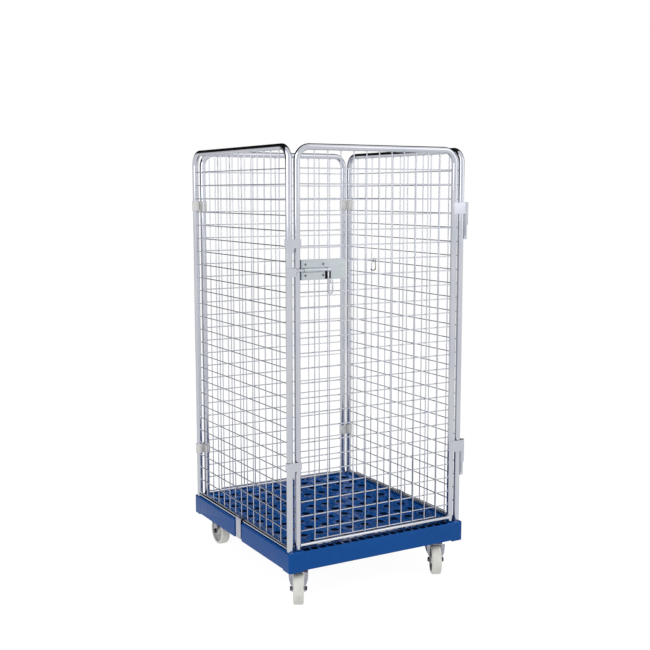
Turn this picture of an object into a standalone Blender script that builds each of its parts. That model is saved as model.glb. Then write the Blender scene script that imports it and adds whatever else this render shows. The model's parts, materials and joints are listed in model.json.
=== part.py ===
"""Roll cage container: blue plastic base on four castors, three wire mesh panels
plugged into the base, and a wire mesh door on lift-off hinges with a sliding bolt."""

import math

import bmesh
import bpy
from mathutils import Matrix, Vector

NAME = "roll_cage_container"

# ---------------------------------------------------------------- driving sizes (metres)
BASE_W, BASE_D = 0.724, 0.815
UNDERSIDE, RIM_TOP = 0.125, 0.190
TOTAL_H = 1.555
CORNER_R = 0.010
SKIRT_T, DECK_T = 0.004, 0.005
CORNER_FOOT, FOOT_DROP = 0.050, 0.005
BELOW_BASE, ABOVE_BASE, BESIDE_BASE = 0.08, 0.25, 0.45

RIB_T = 0.003
CELL_DX, CELL_DY, CELL_SIDE_X = 0.128, 0.145, 0.345
CASTOR_POCKET_X, CASTOR_POCKET_Y = 0.241, 0.272
POCKET_CHAMFER = 0.014

HOLE_R, HOLE_DX, HOLE_DY = 0.015, 0.064, 0.0725
HOLES_X, HOLES_Y = 10, 10
RIM_POCKETS, RIM_POCKET_DX, RIM_POCKET_W, RIM_POCKET_D = 19, 0.032, 0.026, 0.023
RIM_T = 0.006
DECK_CUT = 0.009
SOCKET_CLEARANCE = 0.0009
STRAP_W, STRAP_RECESS_W, STRAP_RECESS_D = 0.040, 0.060, 0.008

TUBE_R, BEND_R = 0.011, 0.047
BAR_R = 0.007
SIDE_X = 0.3475
POST_Y = 0.3845
DOOR_X = 0.3175
POST_FOOT_Z = 0.150
DOOR_FOOT_Z = RIM_TOP + 0.0035
GAP = 0.0003
PANEL_BAR_Z = RIM_TOP + BAR_R + GAP
DOOR_BAR_Z = RIM_TOP + 0.0165

WIRE_H = 0.0018
WIRE_STEP = 0.00215
GRID_ROWS = 25
GRID_PITCH, GRID_Z0 = 0.0505, 0.261
DOOR_GRID_PITCH, DOOR_GRID_Z0 = 0.0508, 0.2555
SIDE_UPRIGHTS = [0.0509 * i for i in range(-5, 6)] + [-0.3145, 0.3145]
END_UPRIGHTS = [GRID_PITCH * i for i in range(-5, 6)]

CLIP_R, CLIP_H, CLIP_ZS = 0.0142, 0.038, {"upper": 1.3435, "lower": 0.3845}

HINGE_X, HINGE_Y = 0.3701, -POST_Y
PIN_R, BARREL_R = 0.005, 0.0087
# height of the pin's foot, the barrel's foot, the leaf's foot and the top
HINGES = {"upper": (1.230, 1.281, 1.320, 1.361), "lower": (0.362, 0.411, 0.455, 0.496)}
# the straddle clips' top and the foot of their tail
STRADDLE_CLIPS = {"upper": (1.245, 1.200), "lower": (0.499, 0.450)}
SHEET_T = 0.002
POST_FRONT = -POST_Y - TUBE_R - 0.0005

HOOK_X, HOOK_Y, HOOK_ROW = SIDE_X + WIRE_STEP, 0.1914, 17

LATCH_Z = 1.143
BOLT_R, BOLT_Y = 0.0053, -0.4022
BOLT_TIP_X, BOLT_END_X = -0.3333, -0.1970
PLATE_FRONT, PLATE_HALF_H = -0.3945, 0.0335
GUIDE_T, GUIDE_HALF_H = 0.0012, 0.0275
RIVET_XS, RIVET_DZ, RIVET_R = (-0.292, -0.225), 0.0185, 0.0020
HANDLE_X, LOOP_W, LOOP_H, LOOP_R = -0.2087, 0.0163, 0.073, 0.0027

WHEEL_R, WHEEL_HALF_W = 0.054, 0.018
HUB_R, HUB_HALF_W, WEB_HALF_W = 0.0150, 0.0185, 0.0110
AXLE_R = 0.006
CASTOR_X = 0.287
SWIVEL_Y, FIXED_Y = -0.331, 0.3255
TRAIL = 0.055
TURN = math.radians(28.5)
PAD_Z = 0.140
PLATE_W, PLATE_D, PLATE_T = 0.086, 0.100, 0.003
LEG_X, LEG_T, LEG_HALF_W = 0.0213, 0.003, 0.0125
LEG_TOP_HALF_W = 0.034
CROWN_Z, CROWN_T = 0.1142, 0.003
FLANGE_W, FLANGE_T = 0.0125, 0.002
KINGPIN_R = 0.006

# finish: base colour, metallic, roughness
FINISHES = {
    "blue": ((0.02, 0.09, 0.30, 1.0), 0.0, 0.35),
    "zinc": ((0.62, 0.63, 0.68, 1.0), 0.9, 0.25),
    "dull": ((0.45, 0.46, 0.48, 1.0), 0.9, 0.45),
    "dark": ((0.05, 0.05, 0.05, 1.0), 0.9, 0.40),
    "nylon": ((0.70, 0.70, 0.65, 1.0), 0.0, 0.40),
    "clip": ((0.58, 0.58, 0.57, 1.0), 0.0, 0.50),
}

# ---------------------------------------------------------------- scene and helpers
for old in list(bpy.data.objects):
    bpy.data.objects.remove(old, do_unlink=True)

part = bpy.data.collections.new(NAME)
cutters = bpy.data.collections.new("cutters")
bpy.context.scene.collection.children.link(part)
bpy.context.scene.collection.children.link(cutters)

root = bpy.data.objects.new("container_origin", None)
part.objects.link(root)


def add_axis(name, location, rotation_z=0.0, parent=None):
    """Empty on a joint's axis; the pieces that move with the joint are parented to it."""
    empty = bpy.data.objects.new(name, None)
    empty.empty_display_size = 0.03
    part.objects.link(empty)
    empty.location = location
    empty.rotation_euler = (0.0, 0.0, rotation_z)
    bpy.context.view_layer.update()
    attach(empty, parent or root)
    return empty


def attach(obj, parent):
    obj.parent = parent
    obj.matrix_parent_inverse = parent.matrix_world.inverted()
    bpy.context.view_layer.update()


def material(name, kind):
    mat = bpy.data.materials.new(name)
    mat.use_nodes = True
    shader = mat.node_tree.nodes["Principled BSDF"]
    colour, metallic, roughness = FINISHES[kind]
    shader.inputs["Base Color"].default_value = colour
    shader.inputs["Metallic"].default_value = metallic
    shader.inputs["Roughness"].default_value = roughness
    return mat


def new_object(name, mesh, matrix=None):
    obj = bpy.data.objects.new(name, mesh)
    bpy.context.scene.collection.objects.link(obj)
    if matrix is not None:
        obj.matrix_world = matrix
    return obj


def node(obj, name, kind, parent=None):
    """Turn a shape into a finished piece of the container."""
    obj.name = name
    obj.data.name = name
    bpy.context.scene.collection.objects.unlink(obj)
    part.objects.link(obj)
    obj.data.materials.append(material(name, kind))
    obj.data.shade_smooth()
    obj.data.set_sharp_from_angle(angle=math.radians(40))
    bpy.context.view_layer.update()
    attach(obj, parent or root)
    return obj


def boolean(obj, other, label, operation):
    other.name = obj.name + "_" + label
    bpy.context.scene.collection.objects.unlink(other)
    cutters.objects.link(other)
    other.hide_render = True
    other.display_type = "WIRE"
    bpy.context.view_layer.update()
    attach(other, obj.parent)
    mod = obj.modifiers.new(label, "BOOLEAN")
    mod.object = other
    mod.operation = operation
    mod.solver = "EXACT"


def cut(obj, other, label):
    boolean(obj, other, label, "DIFFERENCE")


def join(obj, other, label):
    boolean(obj, other, label, "UNION")


def finish_mesh(bm):
    mesh = bpy.data.meshes.new("shape")
    bm.to_mesh(mesh)
    bm.free()
    return mesh


def add_box(bm, lo, hi):
    lo, hi = Vector(lo), Vector(hi)
    place = Matrix.Translation((lo + hi) / 2) @ Matrix.Diagonal((*(hi - lo), 1.0))
    bmesh.ops.create_cube(bm, size=1.0, matrix=place)


def box(lo, hi):
    """Box between two corners, with its origin at its centre."""
    lo, hi = Vector(lo), Vector(hi)
    bm = bmesh.new()
    add_box(bm, (lo - hi) / 2, (hi - lo) / 2)
    return new_object("box", finish_mesh(bm), Matrix.Translation((lo + hi) / 2))


def boxes(pairs):
    """Several separate boxes in one shape."""
    bm = bmesh.new()
    for lo, hi in pairs:
        add_box(bm, lo, hi)
    return new_object("boxes", finish_mesh(bm))


def rod(start, end, r, sides=12):
    """Straight round bar, with its origin at its middle."""
    start, end = Vector(start), Vector(end)
    along = end - start
    turn = along.to_track_quat("Z", "Y").to_matrix().to_4x4()
    bm = bmesh.new()
    bmesh.ops.create_cone(bm, cap_ends=True, cap_tris=False, segments=sides, radius1=r, radius2=r,
                          depth=along.length)
    return new_object("rod", finish_mesh(bm), Matrix.Translation((start + end) / 2) @ turn)


def rods(spans, r, sides):
    """Several separate upright bars in one shape, each from z0 to z1 at (x, y)."""
    bm = bmesh.new()
    for x, y, z0, z1 in spans:
        bmesh.ops.create_cone(bm, cap_ends=True, cap_tris=False, segments=sides, radius1=r, radius2=r,
                              depth=z1 - z0, matrix=Matrix.Translation((x, y, (z0 + z1) / 2)))
    return new_object("rods", finish_mesh(bm))


def to_mesh(holder):
    """Replace a curve object by its mesh, with the caps welded on."""
    bpy.context.view_layer.update()
    depsgraph = bpy.context.evaluated_depsgraph_get()
    mesh = bpy.data.meshes.new_from_object(holder.evaluated_get(depsgraph))
    bm = bmesh.new()
    bm.from_mesh(mesh)
    bmesh.ops.remove_doubles(bm, verts=bm.verts, dist=1e-6)
    bm.to_mesh(mesh)
    bm.free()
    obj = new_object("shape", mesh, holder.matrix_world.copy())
    curve = holder.data
    bpy.data.objects.remove(holder, do_unlink=True)
    bpy.data.curves.remove(curve)
    return obj


def curve_object(points, dimensions, cyclic):
    curve = bpy.data.curves.new("path", "CURVE")
    curve.dimensions = dimensions
    line = curve.splines.new("POLY")
    line.points.add(len(points) - 1)
    for target, source in zip(line.points, points):
        target.co = (*source, 0.0, 1.0) if len(source) == 2 else (*source, 1.0)
    line.use_cyclic_u = cyclic
    return new_object("path", curve)


# an outline is drawn in the two directions other than the one it is extruded along
ALONG = {"z": Matrix.Identity(4),
         "y": Matrix.Rotation(math.radians(90), 4, "X"),
         "x": Matrix(((0, 0, 1, 0), (1, 0, 0, 0), (0, 1, 0, 0), (0, 0, 0, 1)))}


def prism(outline, axis, lo, hi, place=None):
    """Flat outline extruded from lo to hi along an axis."""
    holder = curve_object(outline, "2D", True)
    holder.data.fill_mode = "BOTH"
    holder.data.extrude = (hi - lo) / 2
    middle = Vector([(lo + hi) / 2 if letter == axis else 0.0 for letter in "xyz"])
    holder.matrix_world = (place or Matrix.Identity(4)) @ Matrix.Translation(middle) @ ALONG[axis]
    return to_mesh(holder)


def pipe(points, r, resolution):
    """Round bar along a polyline with closed ends."""
    holder = curve_object(points, "3D", False)
    holder.data.bevel_depth = r
    holder.data.bevel_resolution = resolution
    holder.data.use_fill_caps = True
    return to_mesh(holder)


def turned(profile, place, sides):
    """Profile of (radius, height) points swept round local Z by a Screw modifier. It is a closed
    ring when no point is on the axis, and runs from axis to axis otherwise."""
    ring = all(r > 0 for r, h in profile)
    area = sum(a[0] * b[1] - b[0] * a[1] for a, b in zip(profile, profile[1:] + profile[:1]))
    points = list(reversed(profile)) if area > 0 else list(profile)
    bm = bmesh.new()
    verts = [bm.verts.new((r, 0.0, h)) for r, h in points]
    for a, b in zip(verts, verts[1:] + (verts[:1] if ring else [])):
        bm.edges.new((a, b))
    obj = new_object("turned", finish_mesh(bm), place)
    screw = obj.modifiers.new("turn", "SCREW")
    screw.steps = sides
    screw.render_steps = sides
    screw.use_merge_vertices = True
    screw.merge_threshold = 0.00001
    return obj


def arc(centre, r, start, end, steps):
    angles = [math.radians(start + (end - start) * i / steps) for i in range(steps + 1)]
    return [(centre[0] + r * math.cos(a), centre[1] + r * math.sin(a)) for a in angles]


# ---------------------------------------------------------------- base platform
def build_base():
    half_w, half_d = BASE_W / 2, BASE_D / 2
    body = box((-half_w, -half_d, UNDERSIDE - FOOT_DROP), (half_w, half_d, RIM_TOP))
    bm = bmesh.new()
    bm.from_mesh(body.data)
    uprights = [e for e in bm.edges if abs(e.verts[0].co.z - e.verts[1].co.z) > 0.01]
    bmesh.ops.bevel(bm, geom=uprights, offset=CORNER_R, segments=4, profile=0.5, affect="EDGES")
    bm.to_mesh(body.data)
    bm.free()
    base = node(body, "base_platform", "blue")

    # the skirt is a little deeper at the four corners
    a, b, far = half_w - CORNER_FOOT, half_d - CORNER_FOOT, BESIDE_BASE
    relief = [(-a, -far), (a, -far), (a, -b), (far, -b), (far, b), (a, b),
              (a, far), (-a, far), (-a, b), (-far, b), (-far, -b), (-a, -b)]
    cut(base, prism(relief, "z", BELOW_BASE, UNDERSIDE), "skirt_relief")

    # hollow underside: ribbed cells in the middle, castor pockets in the corners
    ceiling = RIM_TOP - DECK_T
    half_rib = RIB_T / 2
    front = half_d - SKIRT_T
    middle_xs = (-CELL_SIDE_X, -CELL_DX, 0.0, CELL_DX, CELL_SIDE_X)
    end_xs = (-CASTOR_POCKET_X, -CELL_DX, 0.0, CELL_DX, CASTOR_POCKET_X)
    middle_ys = (-CASTOR_POCKET_Y, -CELL_DY, 0.0, CELL_DY, CASTOR_POCKET_Y)
    middle_rows = list(zip(middle_ys, middle_ys[1:]))
    end_rows = [(-front - half_rib, -CASTOR_POCKET_Y), (CASTOR_POCKET_Y, front + half_rib)]
    cells = []
    for xs, rows in ((middle_xs, middle_rows), (end_xs, end_rows)):
        for x0, x1 in zip(xs, xs[1:]):
            for y0, y1 in rows:
                cells.append(((x0 + half_rib, y0 + half_rib, BELOW_BASE),
                              (x1 - half_rib, y1 - half_rib, ceiling)))
    cut(base, boxes(cells), "cells")
    inner, outer, low = CASTOR_POCKET_X + half_rib, half_w - SKIRT_T, CASTOR_POCKET_Y + half_rib
    pocket = [(inner, low), (outer, low), (outer, front - POCKET_CHAMFER),
              (outer - POCKET_CHAMFER, front), (inner, front)]
    for label, sx, sy in (("front_left", -1, -1), ("front_right", 1, -1), ("rear_left", -1, 1),
                          ("rear_right", 1, 1)):
        placed = [(sx * x, sy * y) for x, y in pocket]
        cut(base, prism(placed, "z", BELOW_BASE, PAD_Z), "castor_pocket_" + label)

    # deck holes and the row of pockets behind the front and back rim
    cut_foot = RIM_TOP - DECK_CUT
    holes = []
    for i in range(HOLES_X):
        for j in range(HOLES_Y):
            holes.append(((i - (HOLES_X - 1) / 2) * HOLE_DX, (j - (HOLES_Y - 1) / 2) * HOLE_DY,
                          cut_foot, ABOVE_BASE))
    cut(base, rods(holes, HOLE_R, 8), "deck_holes")
    pockets = []
    for i in range(RIM_POCKETS):
        x = (i - (RIM_POCKETS - 1) / 2) * RIM_POCKET_DX - RIM_POCKET_W / 2
        for y in (-half_d + RIM_T, half_d - RIM_T - RIM_POCKET_D):
            pockets.append(((x, y, cut_foot), (x + RIM_POCKET_W, y + RIM_POCKET_D, ABOVE_BASE)))
    cut(base, boxes(pockets), "rim_pockets")

    # sockets for the panel posts, and the strap recess in each side
    sockets = [(sign * x, y, POST_FOOT_Z - GAP, ABOVE_BASE) for sign in (-1, 1)
               for x, y in ((SIDE_X, -POST_Y), (SIDE_X, POST_Y), (DOOR_X, POST_Y))]
    cut(base, rods(sockets, TUBE_R + SOCKET_CLEARANCE, 12), "post_sockets")
    recess, half_slot = half_w - STRAP_RECESS_D, STRAP_RECESS_W / 2
    cut(base, boxes([((-far, -half_slot, BELOW_BASE), (-recess, half_slot, ABOVE_BASE)),
                     ((recess, -half_slot, BELOW_BASE), (far, half_slot, ABOVE_BASE))]),
        "strap_recesses")


# ---------------------------------------------------------------- panels
def tube_frame(place, half_span, foot_z):
    """U-shaped tube; place turns (along, height) into a point."""
    top = TOTAL_H - TUBE_R
    path = [(-half_span, foot_z)]
    path += arc((-half_span + BEND_R, top - BEND_R), BEND_R, 180, 90, 5)
    path += arc((half_span - BEND_R, top - BEND_R), BEND_R, 90, 0, 5)
    path += [(half_span, foot_z)]
    return pipe([place(a, z) for a, z in path], TUBE_R, 4)


def bottom_bar(place, half_span, z):
    end = half_span - TUBE_R - 0.0004
    return rod(place(-end, z), place(end, z), BAR_R, 10)


def wire_grid(name, place, half_span, uprights, levels, bottom_z, outer, parent=None):
    """Wire grid as one body: the first upright meets every cross wire and the bottom wire meets
    every upright; the other crossings keep a small gap. place maps (along, through, height) to
    a point, levels are the cross wires' heights, and outer is the direction through the panel
    in which the uprights lie."""
    end = half_span - TUBE_R - 0.0004
    top = TOTAL_H - 2 * TUBE_R - 0.0004
    first, last = min(uprights), max(uprights)
    slim = WIRE_H - 0.0002

    def wire(a0, a1, through, z0, z1, half=WIRE_H):
        ends = list(zip(place(a0, through - half, z0), place(a1, through + half, z1)))
        return [min(pair) for pair in ends], [max(pair) for pair in ends]

    across = [wire(-end, end, -outer * WIRE_STEP, z - WIRE_H, z + WIRE_H) for z in levels]
    across.append(wire(first - slim, last + slim, 0.0, bottom_z - WIRE_H, bottom_z + WIRE_H, slim))
    upward = []
    for a in uprights:
        over = abs(a) + WIRE_H - (half_span - BEND_R)
        inner = BEND_R - TUBE_R
        in_bend = TOTAL_H - TUBE_R - BEND_R + math.sqrt(max(0.0, inner ** 2 - over ** 2)) - 0.0006
        through = 0.0 if a == first else outer * WIRE_STEP
        upward.append(wire(a - WIRE_H, a + WIRE_H, through, bottom_z, top if over < 0 else in_bend))
    grid = node(boxes(across), name, "zinc", parent)
    join(grid, boxes(upward), "uprights")


def build_panels(door_axis):
    """Side and back panels plug into the base; the door hangs on its hinges."""
    grid_foot = PANEL_BAR_Z + BAR_R + WIRE_H + 0.0006
    levels = [GRID_Z0 + GRID_PITCH * i for i in range(GRID_ROWS)]
    for side, x, outer in (("left", -SIDE_X, 1), ("right", SIDE_X, -1)):
        def place(a, z):
            return x, a, z
        node(tube_frame(place, POST_Y, POST_FOOT_Z), side + "_panel_frame", "zinc")
        node(bottom_bar(place, POST_Y, PANEL_BAR_Z), side + "_panel_bottom_bar", "zinc")
        wire_grid(side + "_panel_mesh", lambda a, t, z: (x + t, a, z), POST_Y, SIDE_UPRIGHTS,
                  levels, grid_foot, outer)
    node(tube_frame(lambda a, z: (a, POST_Y, z), DOOR_X, POST_FOOT_Z), "back_panel_frame", "zinc")
    node(bottom_bar(lambda a, z: (a, POST_Y, z), DOOR_X, PANEL_BAR_Z), "back_panel_bottom_bar",
         "zinc")
    wire_grid("back_panel_mesh", lambda a, t, z: (a, POST_Y + t, z), DOOR_X, END_UPRIGHTS,
              levels, grid_foot, 1)
    node(tube_frame(lambda a, z: (a, -POST_Y, z), DOOR_X, DOOR_FOOT_Z), "door_frame", "zinc",
         door_axis)
    node(bottom_bar(lambda a, z: (a, -POST_Y, z), DOOR_X, DOOR_BAR_Z), "door_bottom_bar", "zinc",
         door_axis)
    levels = [DOOR_GRID_Z0 + DOOR_GRID_PITCH * i for i in range(GRID_ROWS)]
    wire_grid("door_mesh", lambda a, t, z: (a, -POST_Y + t, z), DOOR_X, END_UPRIGHTS,
              levels, DOOR_BAR_Z + BAR_R + WIRE_H + 0.003, -1, door_axis)


def build_straps():
    """Pressed strap that hangs over each side bar into the recess of the skirt."""
    over = PANEL_BAR_Z + BAR_R + GAP
    face, back, reach, foot = 0.3608, 0.3588, 0.3560, UNDERSIDE + 0.003
    half = STRAP_W / 2
    lip_out, lip_in = half - 0.0004, half - 0.0024
    for side, sx in (("left", -1), ("right", 1)):
        outline = [(face, foot), (back, foot), (back, over), (reach, over),
                   (reach, over + SHEET_T), (face, over + SHEET_T)]
        strap = prism([(sx * x, z) for x, z in outline], "y", -half, half)
        node(strap, side + "_tie_strap", "dull")
        x0, x1 = sorted((sx * (face - 0.0004), sx * (reach - 0.0008)))
        z0, z1 = foot + 0.0005, RIM_TOP - 0.005
        join(strap, boxes([((x0, -lip_out, z0), (x1, -lip_in, z1)),
                           ((x0, lip_in, z0), (x1, lip_out, z1))]), "lips")


def build_corner_clips():
    """Two-lobed plastic clips that tie the back panel to the side panels."""
    for side, sx in (("left", -1), ("right", 1)):
        for label, z in CLIP_ZS.items():
            lo, hi = z - CLIP_H / 2, z + CLIP_H / 2
            clip = node(rod((sx * SIDE_X, POST_Y, lo), (sx * SIDE_X, POST_Y, hi), CLIP_R),
                        side + "_corner_clip_" + label, "clip")
            join(clip, rod((sx * DOOR_X, POST_Y, lo), (sx * DOOR_X, POST_Y, hi), CLIP_R),
                 "second_lobe")
            x0, x1 = sorted((sx * (DOOR_X + 0.004), sx * (SIDE_X - 0.004)))
            join(clip, box((x0, POST_Y - TUBE_R, lo + 0.001), (x1, POST_Y + TUBE_R, hi - 0.001)),
                 "bridge")
            bores = [(sx * x, POST_Y, lo - 0.01, hi + 0.01) for x in (SIDE_X, DOOR_X)]
            cut(clip, rods(bores, TUBE_R + 0.0007, 12), "bores")


# ---------------------------------------------------------------- door furniture
def build_hinges(door_axis):
    """Lift-off hinges: barrels on the door's leaves sit on pins fixed to the right panel's post."""
    leaf_x, bend_x, strip_x = 0.3085, 0.3588, 0.3589
    for label, (pin_foot, barrel_foot, leaf_foot, top) in HINGES.items():
        def on_axis(z):
            return HINGE_X, HINGE_Y, z
        outline = [(leaf_x, POST_FRONT), (leaf_x, POST_FRONT - SHEET_T), (bend_x, POST_FRONT - SHEET_T),
                   (HINGE_X, HINGE_Y - 0.0080), (HINGE_X, HINGE_Y - 0.0058),
                   (bend_x - 0.0006, POST_FRONT)]
        leaf = prism(outline, "z", leaf_foot, top - 0.0004)
        node(leaf, "hinge_leaf_" + label, "zinc", door_axis)
        join(leaf, rod(on_axis(barrel_foot), on_axis(top), BARREL_R, 14), "barrel")
        cut(leaf, rod(on_axis(barrel_foot - 0.01), on_axis(top + 0.01), PIN_R + GAP, 14), "pin_bore")
        pin = rod(on_axis(pin_foot), on_axis(top - 0.004), PIN_R)
        node(pin, "hinge_pin_" + label, "zinc")
        join(pin, box((strip_x, HINGE_Y - 0.007, pin_foot + 0.001),
                      (strip_x + SHEET_T, HINGE_Y + 0.007, leaf_foot - 0.001)), "strip")
        join(pin, box((strip_x + SHEET_T / 2, HINGE_Y - 0.004, pin_foot + 0.002),
                      (HINGE_X, HINGE_Y + 0.004, pin_foot + 0.012)), "foot")


def build_straddle_clips(door_axis):
    """Free-edge clips: fixed to the door post, they close over the left panel's front post."""
    far, near, height = -0.3612, -0.3085, 0.030
    for label, (top, tail) in STRADDLE_CLIPS.items():
        outline = [(far, top), (near, top), (near, top - 0.026), (-0.3350, top - height),
                   (-0.3385, tail), (-0.3565, tail), (far, top - height)]
        clip = prism(outline, "y", POST_FRONT - SHEET_T, POST_FRONT)
        node(clip, "straddle_clip_" + label, "zinc", door_axis)
        join(clip, box((far - 0.0002, POST_FRONT - 0.0017, top - 0.0275),
                       (far + 0.0016, POST_FRONT + 0.016, top - 0.0005)), "flange")


def build_latch(door_axis, bolt_axis, handle_axis):
    """Sliding bolt in a riveted guide, with a hanging handle loop, and its keeper."""
    back = PLATE_FRONT + SHEET_T
    step = 0.0015
    left, right, bend = -0.3061, -0.1370, -0.1600
    lip_back = back + 0.0073
    outline = [(left, lip_back), (left, PLATE_FRONT), (bend, PLATE_FRONT),
               (bend + 0.0040, PLATE_FRONT + step), (right, PLATE_FRONT + step), (right, back + step),
               (bend + 0.0035, back + step), (bend - 0.0005, back), (left + SHEET_T, back),
               (left + SHEET_T, lip_back)]
    plate = prism(outline, "z", LATCH_Z - PLATE_HALF_H, LATCH_Z + PLATE_HALF_H)
    node(plate, "latch_plate", "zinc", door_axis)
    cut(plate, box((HANDLE_X - 0.0083, PLATE_FRONT - 0.01, LATCH_Z - 0.031),
                   (HANDLE_X + 0.0137, PLATE_FRONT + 0.01, LATCH_Z - 0.002)), "slot")

    guide_front = PLATE_FRONT - GAP - GUIDE_T
    guide_left, guide_right, ridge_right = -0.3020, -0.2180, -0.2335
    guide = box((guide_left, guide_front, LATCH_Z - GUIDE_HALF_H),
                (guide_right, PLATE_FRONT - GAP, LATCH_Z + GUIDE_HALF_H))
    node(guide, "latch_guide", "zinc", door_axis)
    join(guide, rod((guide_left + 0.002, BOLT_Y, LATCH_Z), (ridge_right, BOLT_Y, LATCH_Z),
                    BOLT_R + 0.0025, 14), "ridge")
    cut(guide, rod((guide_left - 0.018, BOLT_Y, LATCH_Z), (guide_right + 0.007, BOLT_Y, LATCH_Z),
                   BOLT_R + 0.0004), "bore")
    behind = ((guide_left - 0.018, PLATE_FRONT - GAP, LATCH_Z - 0.03),
              (ridge_right + 0.0005, -0.3700, LATCH_Z + 0.03))
    notch = ((ridge_right + 0.0010, -0.4300, LATCH_Z - 0.0095), (-0.1900, -0.3800, LATCH_Z + 0.0095))
    cut(guide, boxes([behind, notch]), "back_and_notch")
    places = [(x, LATCH_Z + dz) for x in RIVET_XS for dz in (-RIVET_DZ, RIVET_DZ)]
    for number, (x, z) in enumerate(places, 1):
        for sheet in (plate, guide):
            hole = rod((x, PLATE_FRONT - 0.01, z), (x, PLATE_FRONT + 0.01, z), RIVET_R + 0.0004, 8)
            cut(sheet, hole, "rivet_hole_%d" % number)
        place = Matrix.Translation((x, guide_front - GAP, z)) @ Matrix.Rotation(math.radians(90), 4, "X")
        head_r, head_h, shank = 2 * RIVET_R, 0.0011, 0.0042
        profile = [(0.0, head_h), (0.75 * head_r, head_h), (head_r, 0.0), (RIVET_R, 0.0),
                   (RIVET_R, -shank), (0.0, -shank)]
        node(turned(profile, place, 8), "latch_rivet_%d" % number, "dull", door_axis)

    bolt = rod((BOLT_TIP_X, BOLT_Y, LATCH_Z), (BOLT_END_X, BOLT_Y, LATCH_Z), BOLT_R)
    node(bolt, "latch_bolt", "zinc", bolt_axis)
    hub_w, hub_r, hub_bore = 0.0100, 0.0074, BOLT_R + 0.00035
    hub = Matrix.Translation((HANDLE_X - hub_w / 2, BOLT_Y, LATCH_Z)) @ Matrix.Rotation(
        math.radians(90), 4, "Y")
    handle = turned([(hub_bore, hub_w), (hub_r, hub_w), (hub_r, 0.0), (hub_bore, 0.0)], hub, 14)
    node(handle, "latch_handle", "zinc", handle_axis)
    turn_z, eye_x, eye_z = LATCH_Z - LOOP_H, HANDLE_X + LOOP_W - 0.0040, LATCH_Z - 0.0400
    loop = [(HANDLE_X, LATCH_Z - 0.0066), (HANDLE_X, turn_z)]
    loop += arc((HANDLE_X + LOOP_W / 2, turn_z), LOOP_W / 2, 180, 360, 6)[1:]
    loop += [(HANDLE_X + LOOP_W, eye_z - 0.0035)]
    join(handle, pipe([(x, BOLT_Y, z) for x, z in loop], LOOP_R, 2), "loop")
    eye = Matrix.Translation((eye_x, BOLT_Y - 0.002, eye_z)) @ Matrix.Rotation(
        math.radians(-90), 4, "X")
    eye_r, eye_bore, eye_w = 0.0062, 0.0026, 0.0040
    join(handle, turned([(eye_bore, eye_w), (eye_r, eye_w), (eye_r, 0.0), (eye_bore, 0.0)], eye, 10),
         "eye")

    keeper_left, keeper_right = -0.3610, -0.3340
    keeper = box((keeper_left, -0.4120, LATCH_Z - 0.0200), (keeper_right, -0.3880, LATCH_Z + 0.0085))
    node(keeper, "latch_keeper", "zinc")
    post = rod((-SIDE_X, -POST_Y, LATCH_Z - 0.05), (-SIDE_X, -POST_Y, LATCH_Z + 0.05),
               TUBE_R + 0.0006, 14)
    cut(keeper, post, "saddle")
    cut(keeper, rod((keeper_left + 0.003, BOLT_Y, LATCH_Z), (keeper_right + 0.004, BOLT_Y, LATCH_Z),
                    BOLT_R + 0.0006), "bore")


def build_hook():
    """Wire hook that hangs on a grid wire of the right panel and holds the open door."""
    level = GRID_Z0 + GRID_PITCH * HOOK_ROW
    axis = add_axis("hold_open_hook_axis", (HOOK_X, HOOK_Y, level))
    half_w, bend_r = 0.0050, 0.0090
    shank_x, bend_z = HOOK_X + 0.0062, level - 0.0290
    path = [(HOOK_X - half_w, level - 0.0040)] + arc((HOOK_X, level + 0.0050), half_w, 180, 0, 6)
    path += [(HOOK_X + half_w, level - 0.0090), (shank_x, level - 0.0140)]
    path += arc((shank_x - bend_r, bend_z), bend_r, 0, -110, 5)
    path += [(HOOK_X - 0.0167, level - 0.0336)]
    node(pipe([(x, HOOK_Y, z) for x, z in path], 0.0019, 1), "hold_open_hook", "zinc", axis)


# ---------------------------------------------------------------- castors
def wheel_and_axle(prefix, axle, place, fork_parent):
    """Wheel, axle bolt and nut round the axle; place has its local Z along the axle."""
    w = WHEEL_HALF_W
    side = [(AXLE_R + 0.0002, HUB_HALF_W), (HUB_R, HUB_HALF_W), (HUB_R + 0.0015, WEB_HALF_W),
            (0.0400, WEB_HALF_W), (0.0430, w), (0.0500, w), (WHEEL_R, w - 0.0050)]
    node(turned(side + [(r, -h) for r, h in reversed(side)], place, 20), prefix + "_wheel", "nylon",
         axle)
    head, head_r, tip = 0.0250, 0.0095, 0.0300
    node(turned([(0.0, tip), (AXLE_R, tip), (AXLE_R, -head), (head_r, -head), (head_r, -tip),
                 (0.0, -tip)], place, 12), prefix + "_axle_bolt", "dark", fork_parent)
    nut_r, nut_bore, nut_top = 0.0104, 0.0072, 0.0295
    node(turned([(nut_bore, nut_top), (nut_r, nut_top), (nut_r, head), (nut_bore, head)], place, 6),
         prefix + "_axle_nut", "dark", fork_parent)


def axle_hole(place):
    reach = 0.05
    return rod(place @ Vector((-reach, 0, WHEEL_R)), place @ Vector((reach, 0, WHEEL_R)),
               AXLE_R + 0.0004)


def leg_foot(y):
    """Lower end of a fork leg's outline, round the axle at y, from front to back."""
    return [(y - LEG_HALF_W, WHEEL_R - 0.002), (y - 0.008, WHEEL_R - 0.0095), (y, WHEEL_R - 0.0125),
            (y + 0.008, WHEEL_R - 0.0095), (y + LEG_HALF_W, WHEEL_R - 0.002)]


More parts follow.
